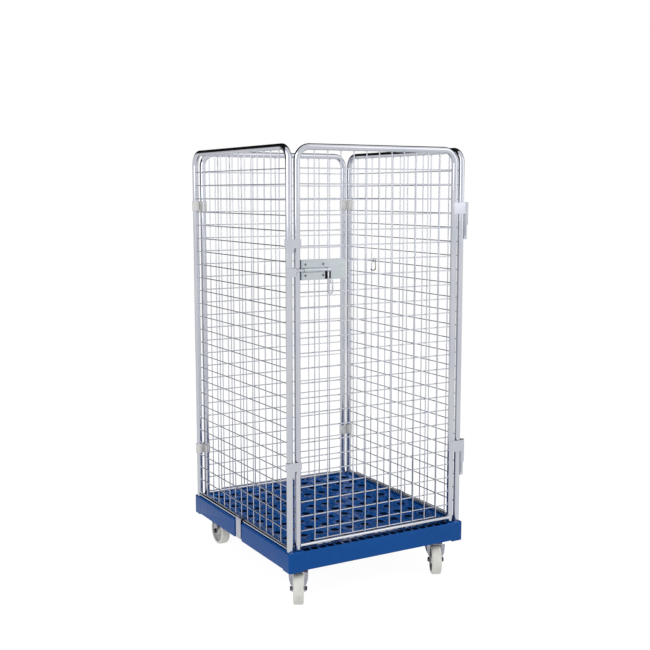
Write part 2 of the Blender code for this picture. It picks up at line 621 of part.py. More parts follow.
def fork_legs(fork, outline, place):
    """Two pressed legs either side of the wheel, stiffened by a flange up their front and back
    edges. The outline starts at the top of the front edge, and its foot has five points."""
    front_head, front_foot, back_foot, back_head = outline[0], outline[1], outline[5], outline[6]
    for label, side in (("left", -1), ("right", 1)):
        across = side * LEG_X
        join(fork, prism(outline, "x", across - LEG_T / 2, across + LEG_T / 2, place), label + "_leg")
        for edge, foot, head, inward in (("front", front_foot, front_head, 1),
                                         ("back", back_foot, back_head, -1)):
            run_y, run_z = head[0] - foot[0], head[1] - foot[1]
            length = math.hypot(run_y, run_z) - 0.001
            lean = Matrix.Rotation(-math.atan2(run_y, run_z), 4, "X")
            flange = [(across, length / 4), (across + side * FLANGE_W, length), (across, length)]
            lo, hi = sorted((inward * 0.0004, inward * (0.0004 + FLANGE_T)))
            join(fork, prism(flange, "y", lo, hi, place @ Matrix.Translation((0.0, *foot)) @ lean),
                 label + "_" + edge + "_flange")


def top_plate(x, y):
    return box((x - PLATE_W / 2, y - PLATE_D / 2, PAD_Z - GAP - PLATE_T),
               (x + PLATE_W / 2, y + PLATE_D / 2, PAD_Z - GAP))


def build_swivel_castor(side, x):
    prefix = "front_" + side
    swivel = add_axis(prefix + "_swivel_axis", (x, SWIVEL_Y, UNDERSIDE), -TURN)
    up = Matrix.Translation((x, SWIVEL_Y, 0.0))
    place = up @ Matrix.Rotation(-TURN, 4, "Z")
    centre = place @ Vector((0.0, -TRAIL, WHEEL_R))
    axle = add_axis(prefix + "_axle_axis", centre, -TURN, swivel)
    along_axle = Matrix.Translation((0, -TRAIL, WHEEL_R)) @ Matrix.Rotation(math.radians(90), 4, "Y")
    wheel_and_axle(prefix, axle, place @ along_axle, swivel)

    pin_hole = ((x, SWIVEL_Y, CROWN_Z - 0.025), (x, SWIVEL_Y, PAD_Z + 0.02), KINGPIN_R + 0.0004)
    plate = node(top_plate(x, SWIVEL_Y), prefix + "_castor_plate", "dull")
    cut(plate, rod(*pin_hole), "pin_hole")
    pin_top, crown_foot = PAD_Z - 0.0005, CROWN_Z - CROWN_T
    head_r, head_top, head_foot = 0.0100, crown_foot - 0.0007, crown_foot - 0.0072
    kingpin = turned([(0.0, pin_top), (KINGPIN_R, pin_top), (KINGPIN_R, head_top), (head_r, head_top),
                      (head_r, head_foot), (0.0, head_foot)], up, 12)
    node(kingpin, prefix + "_kingpin", "dark")
    race_top, race_foot, race_r, rim_r = PAD_Z - 0.0036, crown_foot - 0.0002, 0.0265, 0.0300
    fork = turned([(0.0, race_top), (race_r, race_top), (race_r, 0.1180), (rim_r, 0.1150),
                   (rim_r, race_foot), (0.0, race_foot)], up, 16)
    node(fork, prefix + "_fork", "dull", swivel)
    half, front, back = LEG_X + 0.0013, -TRAIL - 0.005, 0.022
    crown = [(-half, front), (half, front), (half, back), (-half, back)]
    join(fork, prism(crown, "z", crown_foot, CROWN_Z, place), "crown")
    leg_top = CROWN_Z - 0.0003
    fork_legs(fork, [(front, leg_top)] + leg_foot(-TRAIL) + [(back - 0.004, 0.098), (back, leg_top)],
              place)
    cut(fork, axle_hole(place @ Matrix.Translation((0.0, -TRAIL, 0.0))), "axle_hole")
    cut(fork, rod(*pin_hole), "pin_hole")


def build_fixed_castor(side, x):
    prefix = "rear_" + side
    place = Matrix.Translation((x, FIXED_Y, 0.0))
    axle = add_axis(prefix + "_axle_axis", (x, FIXED_Y, WHEEL_R))
    along_axle = Matrix.Translation((0, 0, WHEEL_R)) @ Matrix.Rotation(math.radians(90), 4, "Y")
    wheel_and_axle(prefix, axle, place @ along_axle, root)
    fork = node(top_plate(x, FIXED_Y), prefix + "_fork", "dull")
    leg_top = PAD_Z - 0.001
    fork_legs(fork, [(-LEG_TOP_HALF_W, leg_top)] + leg_foot(0.0) + [(LEG_TOP_HALF_W, leg_top)], place)
    cut(fork, axle_hole(place), "axle_hole")


# ---------------------------------------------------------------- assembly
hinge_line = add_axis("door_hinge_axis", (HINGE_X, HINGE_Y, 0.861))
bolt_line = add_axis("latch_bolt_axis", (HANDLE_X, BOLT_Y, LATCH_Z), parent=hinge_line)
handle_line = add_axis("latch_handle_axis", (HANDLE_X, BOLT_Y, LATCH_Z), parent=bolt_line)
build_base()
build_panels(hinge_line)
build_straps()
build_corner_clips()
build_hinges(hinge_line)
build_straddle_clips(hinge_line)
build_latch(hinge_line, bolt_line, handle_line)
build_hook()
for side_name, castor_x in (("left", -CASTOR_X), ("right", CASTOR_X)):
    build_swivel_castor(side_name, castor_x)
    build_fixed_castor(side_name, castor_x)

# everything is drawn about the middle of the base; the origin goes under the middle of the
# whole footprint, which the turned front castors and the hinges make a little larger
bpy.context.view_layer.update()
depsgraph = bpy.context.evaluated_depsgraph_get()
points = []
for piece in part.objects:
    if piece.type == "MESH":
        solid = piece.evaluated_get(depsgraph)
        points += [solid.matrix_world @ v.co for v in solid.data.vertices]
root.location = [-(min(p[i] for p in points) + max(p[i] for p in points)) / 2 for i in range(2)] + [0.0]
bpy.context.view_layer.update()
print("container_origin", [round(v, 6) for v in root.location])
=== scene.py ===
"""Looks of the roll cage container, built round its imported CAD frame.

Sizes are in metres. Every shape is drawn about the middle of the base platform, at floor
level, and each piece's origin is put there (ORIGIN)."""
import json
from math import atan2, cos, hypot, pi, radians, sin, sqrt

import bmesh
import bpy
from mathutils import Matrix, Vector


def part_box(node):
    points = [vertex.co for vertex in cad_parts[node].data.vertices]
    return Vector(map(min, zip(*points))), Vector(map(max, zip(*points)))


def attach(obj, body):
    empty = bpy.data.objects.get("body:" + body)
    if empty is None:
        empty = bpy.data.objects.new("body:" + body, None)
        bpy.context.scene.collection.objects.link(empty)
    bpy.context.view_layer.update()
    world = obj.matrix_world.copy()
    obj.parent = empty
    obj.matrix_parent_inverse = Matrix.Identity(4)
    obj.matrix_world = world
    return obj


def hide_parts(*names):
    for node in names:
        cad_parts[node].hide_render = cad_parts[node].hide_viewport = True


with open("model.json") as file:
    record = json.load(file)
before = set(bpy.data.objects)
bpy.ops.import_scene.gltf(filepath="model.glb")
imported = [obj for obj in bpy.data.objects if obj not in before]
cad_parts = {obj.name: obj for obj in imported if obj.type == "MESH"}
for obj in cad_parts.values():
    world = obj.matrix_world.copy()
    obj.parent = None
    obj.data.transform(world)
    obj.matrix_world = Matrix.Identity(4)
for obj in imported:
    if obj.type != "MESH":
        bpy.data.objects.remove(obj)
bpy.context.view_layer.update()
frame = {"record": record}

BODY_OF = {node: body for body, nodes in frame["record"]["behaviour"]["bodies"].items() for node in nodes}
BASE_LO, BASE_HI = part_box("base_platform")
ORIGIN = Vector(((BASE_LO.x + BASE_HI.x) / 2, (BASE_LO.y + BASE_HI.y) / 2, 0.0))


def cad(name):
    """Lowest and highest corner of a CAD node, about the middle of the base."""
    lo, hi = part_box(name)
    return lo - ORIGIN, hi - ORIGIN


# -------- sizes: read off the CAD's boxes, or the same as in the CAD where a box can't give them
HALF_W, HALF_D = (BASE_HI.x - BASE_LO.x) / 2, (BASE_HI.y - BASE_LO.y) / 2
DECK_Z, FOOT_Z = BASE_HI.z, BASE_LO.z
SKIRT_Z = FOOT_Z + 0.005
CUT_Z = 0.08                # a height below the base, where cutters start
CORNER_R, TOP_FILLET, FOOT_FILLET = 0.010, 0.0035, 0.0012
SKIRT_T, DECK_T, HALF_RIB_T = 0.004, 0.005, 0.0015
HOLE_STEP_X, HOLE_STEP_Y, HOLES = 0.064, 0.0725, 10
HOLE_R, HOLE_DEPTH = 0.0150, 0.009
POCKET_STEP = 0.032

frame_lo, frame_hi = cad("right_panel_frame")
TUBE_R = (frame_hi.x - frame_lo.x) / 2
SIDE_X = (frame_hi.x + frame_lo.x) / 2
POST_Y = frame_hi.y - TUBE_R
TOP_Z, POST_FOOT_Z = frame_hi.z, frame_lo.z
door_lo, door_hi = cad("door_frame")
DOOR_X = door_hi.x - TUBE_R
DOOR_FOOT_Z = door_lo.z
BEND_R = 0.047

bar_lo, bar_hi = cad("right_panel_bottom_bar")
BAR_R = (bar_hi.z - bar_lo.z) / 2
PANEL_BAR_Z = (bar_hi.z + bar_lo.z) / 2
bar_lo, bar_hi = cad("door_bottom_bar")
DOOR_BAR_Z = (bar_hi.z + bar_lo.z) / 2

WIRE_R, WIRE_STEP, WIRE_FILLET = 0.0020, 0.0019, 0.0008
GRID_PITCH, GRID_Z0, GRID_ROWS = 0.0505, 0.261, 25
DOOR_GRID_PITCH, DOOR_GRID_Z0 = 0.0508, 0.2555
SIDE_UPRIGHTS = [0.0509 * i for i in range(-5, 6)] + [-0.3145, 0.3145]
END_UPRIGHTS = [GRID_PITCH * i for i in range(-5, 6)]
HOOK_LEVEL = GRID_Z0 + GRID_PITCH * 17

SHEET_Y = -POST_Y - TUBE_R - 0.0005     # back of the sheet parts that lie on the door's front
SHEET_T = 0.002
HINGE_X, HINGE_Y, BARREL_R, PIN_R = 0.3701, -0.3845, 0.0084, 0.0050

bolt_lo, bolt_hi = cad("latch_bolt")
BOLT_R = (bolt_hi.z - bolt_lo.z) / 2
BOLT_Y = (bolt_lo.y + bolt_hi.y) / 2
LATCH_Z = (bolt_lo.z + bolt_hi.z) / 2
PLATE_Y = -0.3945           # front of the latch's back plate
GUIDE_T, GUIDE_HALF_H, CHANNEL_R = 0.0012, 0.0275, 0.0074
WING_Y = PLATE_Y - 0.0003   # back of the guide's flat wings
GUIDE_LEFT, GUIDE_RIGHT, RIDGE_RIGHT = -0.3020, -0.2180, -0.2335
HANDLE_X, LOOP_W, LOOP_H, LOOP_R = -0.2087, 0.0163, 0.073, 0.0027
EYE_DROP, EYE_R, EYE_WIRE_R = 0.0400, 0.0046, 0.0018

WHEEL_R, WHEEL_HALF_W, AXLE_R = 0.054, 0.018, 0.006
TRAIL, TURN = 0.055, radians(28.5)
pin_lo, pin_hi = cad("front_right_kingpin")
CASTOR_X, SWIVEL_Y = (pin_lo.x + pin_hi.x) / 2, (pin_lo.y + pin_hi.y) / 2
wheel_lo, wheel_hi = cad("rear_right_wheel")
FIXED_Y = (wheel_lo.y + wheel_hi.y) / 2
PAD_Z = 0.140
PLATE_HALF_W, PLATE_HALF_D, PLATE_T = 0.043, 0.050, 0.003
LEG_X, LEG_T, LEG_HALF_W = 0.0213, 0.003, 0.0125
CROWN_Z, CROWN_T = 0.1142, 0.003
FLANGE_W, FLANGE_T = 0.0125, 0.0018


# -------- materials
class Nodes:
    """Small builder of a material's node tree."""

    def __init__(self, name):
        self.material = bpy.data.materials.new(name)
        self.material.use_nodes = True
        self.tree = self.material.node_tree
        self.shader = self.tree.nodes["Principled BSDF"]
        self.coords = self.tree.nodes.new("ShaderNodeTexCoord").outputs["Object"]

    def add(self, kind, **settings):
        made = self.tree.nodes.new("ShaderNode" + kind)
        for key, value in settings.items():
            if key in made.inputs:
                made.inputs[key].default_value = value
            else:
                setattr(made, key, value)
        return made

    def link(self, output, target):
        self.tree.links.new(output, target)

    def stretched(self, scale):
        """Object coordinates with a scale of their own along each axis."""
        mapping = self.add("Mapping", Scale=scale)
        self.link(self.coords, mapping.inputs["Vector"])
        return mapping.outputs["Vector"]

    def noise(self, scale, detail=3.0, roughness=0.5, vector=None):
        made = self.add("TexNoise", Scale=scale, Detail=detail, Roughness=roughness)
        self.link(vector or self.coords, made.inputs["Vector"])
        return made.outputs["Fac"]

    def ramp(self, fac, *stops):
        made = self.add("ValToRGB")
        elements = made.color_ramp.elements
        while len(elements) < len(stops):
            elements.new(0.5)
        for element, (position, colour) in zip(elements, stops):
            element.position = position
            element.color = (*colour, 1.0)
        self.link(fac, made.inputs["Fac"])
        return made.outputs["Color"]

    def span(self, fac, low, high, start=0.3, end=0.7):
        """Fac from start..end made into low..high."""
        made = self.add("MapRange")
        for key, value in (("From Min", start), ("From Max", end), ("To Min", low), ("To Max", high)):
            made.inputs[key].default_value = value
        self.link(fac, made.inputs["Value"])
        return made.outputs["Result"]

    def bump(self, height, strength, distance, after=None):
        made = self.add("Bump", Strength=strength, Distance=distance)
        self.link(height, made.inputs["Height"])
        if after:
            self.link(after, made.inputs["Normal"])
        return made.outputs["Normal"]

    def mix(self, fac, a, b):
        made = self.add("Mix", data_type="RGBA")
        self.link(fac, made.inputs[0])
        self.link(a, made.inputs[6])
        self.link(b, made.inputs[7])
        return made.outputs[2]

    def finish(self, colour, roughness, normal=None, **constants):
        self.link(colour, self.shader.inputs["Base Color"])
        self.link(roughness, self.shader.inputs["Roughness"])
        if normal:
            self.link(normal, self.shader.inputs["Normal"])
        for key, value in constants.items():
            self.shader.inputs[key.replace("_", " ")].default_value = value
        return self.material


def bright_zinc():
    """Bright zinc plating: cool grey with faint cloudy passivation and a fine drawn grain."""
    n = Nodes("bright_zinc_steel")
    cloud = n.noise(7.0, 4.0)
    fine = n.noise(220.0, 2.0)
    tone = n.ramp(cloud, (0.30, (0.52, 0.54, 0.60)), (0.52, (0.555, 0.57, 0.625)),
                  (0.75, (0.59, 0.60, 0.64)))
    return n.finish(tone, n.span(fine, 0.09, 0.16), n.bump(fine, 0.012, 0.0003), Metallic=1.0)


def plate_zinc():
    """Zinc plated sheet: greener and duller than the tubes, with faint rolling lines."""
    n = Nodes("zinc_plated_sheet")
    lines = n.noise(30.0, 4.0, 0.6, n.stretched((1.0, 1.0, 14.0)))
    tone = n.ramp(lines, (0.30, (0.48, 0.525, 0.555)), (0.70, (0.54, 0.58, 0.61)))
    return n.finish(tone, n.span(lines, 0.20, 0.30), n.bump(lines, 0.05, 0.0003), Metallic=1.0)


def shaded(stops, shade):
    """Ramp stops with their colours made lighter or darker."""
    return [(position, [shade * c for c in colour]) for position, colour in stops]


def galvanised(name="galvanised_steel", shade=1.0):
    """Galvanised sheet: small spangle in slightly different greys."""
    n = Nodes(name)
    cells = n.add("TexVoronoi", Scale=170.0, Randomness=1.0)
    n.link(n.coords, cells.inputs["Vector"])
    gray = n.add("RGBToBW")
    n.link(cells.outputs["Color"], gray.inputs["Color"])
    spangle = gray.outputs["Val"]
    tones = [(0.15, (0.42, 0.43, 0.50)), (0.55, (0.49, 0.50, 0.57)), (0.9, (0.56, 0.57, 0.63))]
    tone = n.ramp(spangle, *shaded(tones, shade))
    rough = n.span(spangle, 0.26, 0.40, 0.1, 0.9)
    return n.finish(tone, rough, n.bump(n.noise(320.0, 2.0), 0.05, 0.0003), Metallic=1.0)


def passivated_wire():
    """Yellow passivated hook wire, made nearly black at the top of its loop and at its tip."""
    n = Nodes("passivated_wire")
    axes = n.add("SeparateXYZ")
    n.link(n.coords, axes.inputs[0])
    level = n.span(axes.outputs["Z"], 0.0, 1.0, HOOK_LEVEL - 0.040, HOOK_LEVEL + 0.012)
    tone = n.ramp(level, (0.20, (0.012, 0.012, 0.014)), (0.32, (0.36, 0.35, 0.25)),
                  (0.62, (0.32, 0.31, 0.20)), (0.74, (0.014, 0.014, 0.016)))
    rough = n.span(n.noise(150.0, 3.0), 0.25, 0.40)
    return n.finish(tone, rough, Metallic=0.7)


def dark_steel(name="dark_steel", shade=1.0):
    """Dark fastener steel: it shows black under the base and bright where it faces the light."""
    n = Nodes(name)
    worn = n.noise(140.0, 4.0)
    tones = [(0.35, (0.050, 0.050, 0.056)), (0.60, (0.085, 0.085, 0.090)), (0.78, (0.20, 0.20, 0.21))]
    tone = n.ramp(worn, *shaded(tones, shade))
    return n.finish(tone, n.span(worn, 0.22, 0.38), n.bump(worn, 0.10, 0.0003), Metallic=0.9)


def blue_plastic(name, shade=1.0, rough=(0.30, 0.40), level=0.18, painted_light=1.0):
    """Blue moulded plastic: fine pebbled skin, soft flow marks and faint scuffs. A shade below 1 is painted
    shade: a darker, duller copy for the moulding's hollows and underside. A painted light above 1 is a
    brighter copy painted on the deck's top."""
    n = Nodes(name)
    gain = shade * painted_light
    flow = n.noise(3.5, 4.0, 0.55, n.stretched((1.0, 1.0, 3.0)))
    scuff = n.noise(26.0, 4.0, 0.6)
    clean = n.ramp(flow, (0.30, (0.0005, 0.050 * gain, 0.218 * gain)),
                   (0.70, (0.0012, 0.058 * gain, 0.240 * gain)))
    worn = n.ramp(flow, (0.30, (0.0030, 0.062 * gain, 0.242 * gain)),
                  (0.70, (0.0045, 0.068 * gain, 0.256 * gain)))
    tone = n.mix(n.span(scuff, 0.0, 0.6, 0.50, 0.80), clean, worn)
    skin_bump = n.bump(n.noise(900.0, 2.0), 0.05, 0.0003)
    return n.finish(tone, n.span(scuff, *rough), skin_bump, IOR=1.50, Specular_IOR_Level=level,
                    Specular_Tint=(0.75, 0.88, 1.0, 1.0))


def cast_nylon():
    """Off-white polyamide with faint turning marks and a little dust."""
    n = Nodes("cast_nylon")
    dust = n.noise(38.0, 5.0, 0.6)
    grain = n.noise(600.0, 2.0)
    tone = n.ramp(dust, (0.28, (0.53, 0.53, 0.48)), (0.48, (0.61, 0.61, 0.57)),
                  (0.75, (0.66, 0.66, 0.62)))
    return n.finish(tone, n.span(dust, 0.40, 0.55), n.bump(grain, 0.08, 0.0004), IOR=1.53)


def nylon_web(name="nylon_web", shade=1.0):
    """The recessed web of the wheel, greyed as painted shade with a blotchy tone; a shade above 1 makes a
    lighter copy as painted light.
    """
    n = Nodes(name)
    blotches = n.noise(60.0, 5.0, 0.65)
    tones = [(0.25, (0.050, 0.050, 0.052)), (0.55, (0.10, 0.10, 0.10)), (0.80, (0.20, 0.20, 0.19))]
    tone = n.ramp(blotches, *shaded(tones, shade))
    return n.finish(tone, n.span(blotches, 0.55, 0.75), n.bump(blotches, 0.10, 0.0005), IOR=1.53)


def clip_plastic():
    """Light grey moulded plastic of the corner clips."""
    n = Nodes("grey_clip_plastic")
    cloud = n.noise(55.0, 3.0)
    tone = n.ramp(cloud, (0.3, (0.52, 0.52, 0.51)), (0.7, (0.60, 0.60, 0.59)))
    grain = n.bump(n.noise(800.0, 2.0), 0.10, 0.0004)
    return n.finish(tone, n.span(cloud, 0.42, 0.54), grain, IOR=1.49)


# what each finish is called below: its material and its CAD material slot
FINISH = {
    "zinc": (bright_zinc(), "bright_zinc_steel"),
    "plate": (plate_zinc(), "bright_zinc_steel"),
    "hook": (passivated_wire(), "bright_zinc_steel"),
    "dull": (galvanised(), "galvanised_steel"),
    "fork": (galvanised("galvanised_fork", 0.72), "galvanised_steel"),
    "rivet": (galvanised("dull_rivet_steel", 0.32), "galvanised_steel"),
    "dark": (dark_steel(), "dark_steel"),
    # painted shadow: near-black steel for the sheet behind the latch's slot
    "black": (dark_steel("painted_shadow_steel", 0.15), "dark_steel"),
    "blue": (blue_plastic("blue_plastic", 1.10), "blue_plastic"),
    # painted light: the deck's top and ribs in a brighter copy of the blue
    "deck": (blue_plastic("blue_plastic_deck_painted_light", 1.0, (0.06, 0.14), 0.42, 1.45), "blue_plastic"),
    # painted shade: a darker copy of the blue inside the rim, and near-black blue on the hole walls
    "inside": (blue_plastic("blue_plastic_inside_painted_shade", 0.45, (0.60, 0.75), 0.10), "blue_plastic"),
    "hole": (blue_plastic("blue_plastic_shade", 0.05, (0.60, 0.75), 0.05), "blue_plastic"),
    "nylon": (cast_nylon(), "cast_nylon"),
    # painted shade: the front wheels' web greyed dark; painted light: a lighter copy for the rear wheels'
    # web
    "front_web": (nylon_web(), "cast_nylon"),
    "rear_web": (nylon_web("nylon_web_painted_light", 3.6), "cast_nylon"),
    "clip": (clip_plastic(), "grey_clip_plastic"),
}


# -------- shape helpers
def turns(*degrees):
    """Angles in radians."""
    return [radians(d) for d in degrees]


def arc(centre, r, start, end, steps):
    """Points on a circle in a plane, between two angles in degrees."""
    angles = [radians(start + (end - start) * i / steps) for i in range(steps + 1)]
    return [(centre[0] + r * cos(a), centre[1] + r * sin(a)) for a in angles]


def skin(bm, rings, close=False):
    """Quads between neighbouring rings, and a face over each end ring."""
    pairs = list(zip(rings, rings[1:] + (rings[:1] if close else [])))
    for a, b in pairs:
        for i in range(len(a)):
            j = (i + 1) % len(a)
            bm.faces.new((a[i], a[j], b[j], b[i]))
    if not close:
        bm.faces.new(list(reversed(rings[0])))
        bm.faces.new(rings[-1])


def sweep(bm, points, radii, sides=16, close=False):
    """Round bar along a path; radii has one value for each point."""
    points = [Vector(p) for p in points]
    count = len(points)
    tangents = []
    for i in range(count):
        before = points[i - 1] if close or i else points[0]
        after = points[(i + 1) % count] if close or i < count - 1 else points[-1]
        tangents.append((after - before).normalized())
    side = tangents[0].orthogonal().normalized()
    rings = []
    for point, tangent, r in zip(points, tangents, radii):
        side = (side - tangent * side.dot(tangent)).normalized()
        other = tangent.cross(side)
        angles = [2 * pi * k / sides for k in range(sides)]
        rings.append([bm.verts.new(point + (side * cos(a) + other * sin(a)) * r)
                      for a in angles])
    skin(bm, rings, close)


def bar(bm, points, r, sides=16, fillet=0.0):
    """Round bar with its two end edges rounded off."""
    points = [Vector(p) for p in points]
    if not fillet:
        return sweep(bm, points, [r] * len(points), sides)
    first = (points[1] - points[0]).normalized()
    last = (points[-2] - points[-1]).normalized()
    along = [fillet * (1 - cos(a)) for a in turns(0, 30, 60, 90)]
    radii = [r - fillet + fillet * sin(a) for a in turns(0, 30, 60, 90)]
    path = [points[0] + first * d for d in along] + points[1:-1]
    path += [points[-1] + last * d for d in reversed(along)]
    sweep(bm, path, radii + [r] * (len(points) - 2) + list(reversed(radii)), sides)


def lathe(bm, profile, place, sides=48):
    """Profile of (radius, height) swept round local Z. It is a closed ring when no point is on
    the axis, and runs from axis to axis otherwise."""
    ring = all(r > 0 for r, h in profile)
    rings = []
    for r, h in profile:
        if r > 0:
            angles = [2 * pi * k / sides for k in range(sides)]
            rings.append([bm.verts.new(place @ Vector((r * cos(a), r * sin(a), h)))
                          for a in angles])
        else:
            rings.append([bm.verts.new(place @ Vector((0.0, 0.0, h)))])
    for a, b in zip(rings, rings[1:] + (rings[:1] if ring else [])):
        for i in range(sides):
            j = (i + 1) % sides
            if len(a) == 1:
                bm.faces.new((a[0], b[j], b[i]))
            elif len(b) == 1:
                bm.faces.new((a[i], a[j], b[0]))
            else:
                bm.faces.new((a[i], a[j], b[j], b[i]))


# turns that lay a shape drawn in XY so that its depth runs along the named axis
ALONG = {"z": Matrix.Identity(4),
         "y": Matrix(((1, 0, 0, 0), (0, 0, 1, 0), (0, 1, 0, 0), (0, 0, 0, 1))),
         "x": Matrix(((0, 0, 1, 0), (1, 0, 0, 0), (0, 1, 0, 0), (0, 0, 0, 1)))}


def slab(bm, outline, axis, lo, hi, place=None):
    """Flat outline, drawn in the two directions other than axis, extruded from lo to hi."""
    turn = (place or Matrix.Identity(4)) @ ALONG[axis]
    rings = [[bm.verts.new(turn @ Vector((*p, h))) for p in outline] for h in (lo, hi)]
    skin(bm, rings)


def block(bm, lo, hi):
    """Plain box between two corners."""
    slab(bm, [(lo[0], lo[1]), (hi[0], lo[1]), (hi[0], hi[1]), (lo[0], hi[1])], "z", lo[2], hi[2])


def blob(bm, centre, size):
    """Small weld nugget, flattened to size along each axis."""
    place = Matrix.Translation(centre) @ Matrix.Diagonal((*size, 1.0))
    bmesh.ops.create_uvsphere(bm, u_segments=10, v_segments=6, radius=1.0, matrix=place)


def to_object(name, bm):
    """Object of a finished bmesh, with its origin at ORIGIN."""
    bmesh.ops.recalc_face_normals(bm, faces=bm.faces)
    mesh = bpy.data.meshes.new(name)
    bm.to_mesh(mesh)
    bm.free()
    obj = bpy.data.objects.new(name, mesh)
    bpy.context.scene.collection.objects.link(obj)
    obj.location = ORIGIN
    return obj


def cut(obj, bm):
    """Cut the shape in bm away at once, so that no cutter is left in the scene."""
    other = to_object("cutter", bm)
    mod = obj.modifiers.new("boolean", "BOOLEAN")
    mod.object = other
    mod.operation = "DIFFERENCE"
    mod.solver = "EXACT"
    bpy.context.view_layer.update()
    mesh = bpy.data.meshes.new_from_object(obj.evaluated_get(bpy.context.evaluated_depsgraph_get()))
    obj.modifiers.clear()
    obj.data = mesh
    bpy.data.objects.remove(other, do_unlink=True)


def piece(obj, finish, nodes, bevel=0.0, segments=3, angle=35):
    """Give a shape its finish and its body, and hide the CAD nodes that it stands for."""
    material, slot = FINISH[finish]
    obj.data.materials.clear()
    obj.data.materials.append(material)
    if bevel:
        mod = obj.modifiers.new("rounded_edges", "BEVEL")
        mod.width = bevel
        mod.segments = segments
        mod.limit_method = "ANGLE"
        mod.angle_limit = radians(angle)
        mod.harden_normals = True
    obj.data.shade_smooth()
    obj.data.set_sharp_from_angle(angle=radians(angle))
    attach(obj, BODY_OF[nodes[0]])
    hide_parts(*nodes)


def make(name, bm, finish, node, **edges):
    """Piece made straight from a bmesh, for one CAD node."""
    piece(to_object(name, bm), finish, [node], **edges)


# -------- base platform
def rounded_outline(half_x, half_y, r, steps=8):
    """Rectangle about the origin with rounded corners."""
    points = []
    for cx, cy, start in ((1, 1, 0), (-1, 1, 90), (-1, -1, 180), (1, -1, 270)):
        points += arc((cx * (half_x - r), cy * (half_y - r)), r, start, start + 90, steps)
    return points


def build_base():
    """The moulding: cut from one rounded block, with its deck ribs laid on as a second piece."""
    rows = [(FOOT_Z + FOOT_FILLET * (1 - cos(a)), FOOT_FILLET * (1 - sin(a)))
            for a in turns(0, 45, 90)]
    rows += [(DECK_Z - TOP_FILLET * (1 - sin(a)), TOP_FILLET * (1 - cos(a)))
             for a in turns(0, 22.5, 45, 67.5, 90)]
    bm = bmesh.new()
    rings = []
    for z, inset in rows:
        outline = rounded_outline(HALF_W - inset, HALF_D - inset, CORNER_R - inset)
        rings.append([bm.verts.new((x, y, z)) for x, y in outline])
    skin(bm, rings)
    base = to_object("base_platform_moulding", bm)

    cut_skirt(base)
    cut_underside(base)
    cut_deck(base)
    cut_sockets(base)

    # narrow raised ribs between the deck holes
    rib_half_w, rib_half_l, rib_r, rib_up = 0.0026, 0.0210, 0.0024, 0.0011
    bm = bmesh.new()
    for i in range(HOLES - 1):
        for j in range(HOLES):
            x, y = (i - (HOLES - 2) / 2) * HOLE_STEP_X, (j - (HOLES - 1) / 2) * HOLE_STEP_Y
            outline = [(x + px, y + py) for px, py in rounded_outline(rib_half_w, rib_half_l, rib_r, 4)]
            slab(bm, outline, "z", DECK_Z - 0.001, DECK_Z + rib_up)
    ribs = to_object("deck_ribs", bm)
    piece(base, "blue", ["base_platform"], angle=30)
    paint_base(base)
    # the ribs take the deck's brighter blue, which is painted light
    piece(ribs, "deck", ["base_platform"], bevel=0.0006, segments=2)


def cut_skirt(base):
    """Lift the skirt between the four corner feet, with sloped steps."""
    foot, slope, below, past = 0.050, 0.006, 0.02, 0.5
    for axis, half, reach in (("y", HALF_W, past), ("x", HALF_D, past - 0.01)):
        inner = half - foot
        outline = [(-inner - slope * 2, FOOT_Z - below), (inner + slope * 2, FOOT_Z - below),
                   (inner, SKIRT_Z), (-inner, SKIRT_Z)]
        bm = bmesh.new()
        slab(bm, outline, axis, -reach, reach)
        cut(base, bm)


def cut_underside(base):
    """Hollow the underside between its ribs, and cut the four castor pockets."""
    block_x, block_y, side_x = 0.241, 0.272, 0.345
    rib_x, rib_y, chamfer = 0.128, 0.145, 0.014
    front = HALF_D - SKIRT_T
    bm = bmesh.new()
    for xs, rows in (((-side_x, -rib_x, 0.0, rib_x, side_x),
                      ((-block_y, -rib_y), (-rib_y, 0.0), (0.0, rib_y), (rib_y, block_y))),
                     ((-block_x, -rib_x, 0.0, rib_x, block_x),
                      ((-front - HALF_RIB_T, -block_y), (block_y, front + HALF_RIB_T)))):
        for x0, x1 in zip(xs, xs[1:]):
            for y0, y1 in rows:
                block(bm, (x0 + HALF_RIB_T, y0 + HALF_RIB_T, CUT_Z),
                      (x1 - HALF_RIB_T, y1 - HALF_RIB_T, DECK_Z - DECK_T))
    inner, outer, low = block_x + HALF_RIB_T, HALF_W - SKIRT_T, block_y + HALF_RIB_T
    pocket = [(inner, low), (outer, low), (outer, front - chamfer), (outer - chamfer, front),
              (inner, front)]
    for sx in (-1, 1):
        for sy in (-1, 1):
            slab(bm, [(sx * x, sy * y) for x, y in pocket], "z", CUT_Z, PAD_Z)
    cut(base, bm)


def cut_deck(base):
    """Round holes with a rounded mouth, and a row of pockets behind the front and back rim."""
    mouth, above = 0.0012, 0.004
    profile = [(0.0, DECK_Z + above), (HOLE_R + mouth, DECK_Z + above), (HOLE_R + mouth, DECK_Z + 0.0001)]
    profile += [(HOLE_R + mouth * (1 - sin(a)), DECK_Z - mouth * (1 - cos(a)))
                for a in turns(30, 60, 90)]
    profile += [(HOLE_R, DECK_Z - HOLE_DEPTH), (0.0, DECK_Z - HOLE_DEPTH)]
    middle = (HOLES - 1) / 2
    bm = bmesh.new()
    for i in range(HOLES):
        for j in range(HOLES):
            centre = ((i - middle) * HOLE_STEP_X, (j - middle) * HOLE_STEP_Y, 0.0)
            lathe(bm, profile, Matrix.Translation(centre), 28)
    cut(base, bm)

    near, far, half_w, corner = 0.006, 0.029, 0.013, 0.003
    bm = bmesh.new()
    for i in range(-9, 10):
        for sy in (-1, 1):
            y0, y1 = sorted((sy * (HALF_D - near), sy * (HALF_D - far)))
            outline = [(i * POCKET_STEP + x, (y0 + y1) / 2 + y)
                       for x, y in rounded_outline(half_w, (y1 - y0) / 2, corner, 3)]
            slab(bm, outline, "z", DECK_Z - HOLE_DEPTH, DECK_Z + 0.01)
    cut(base, bm)


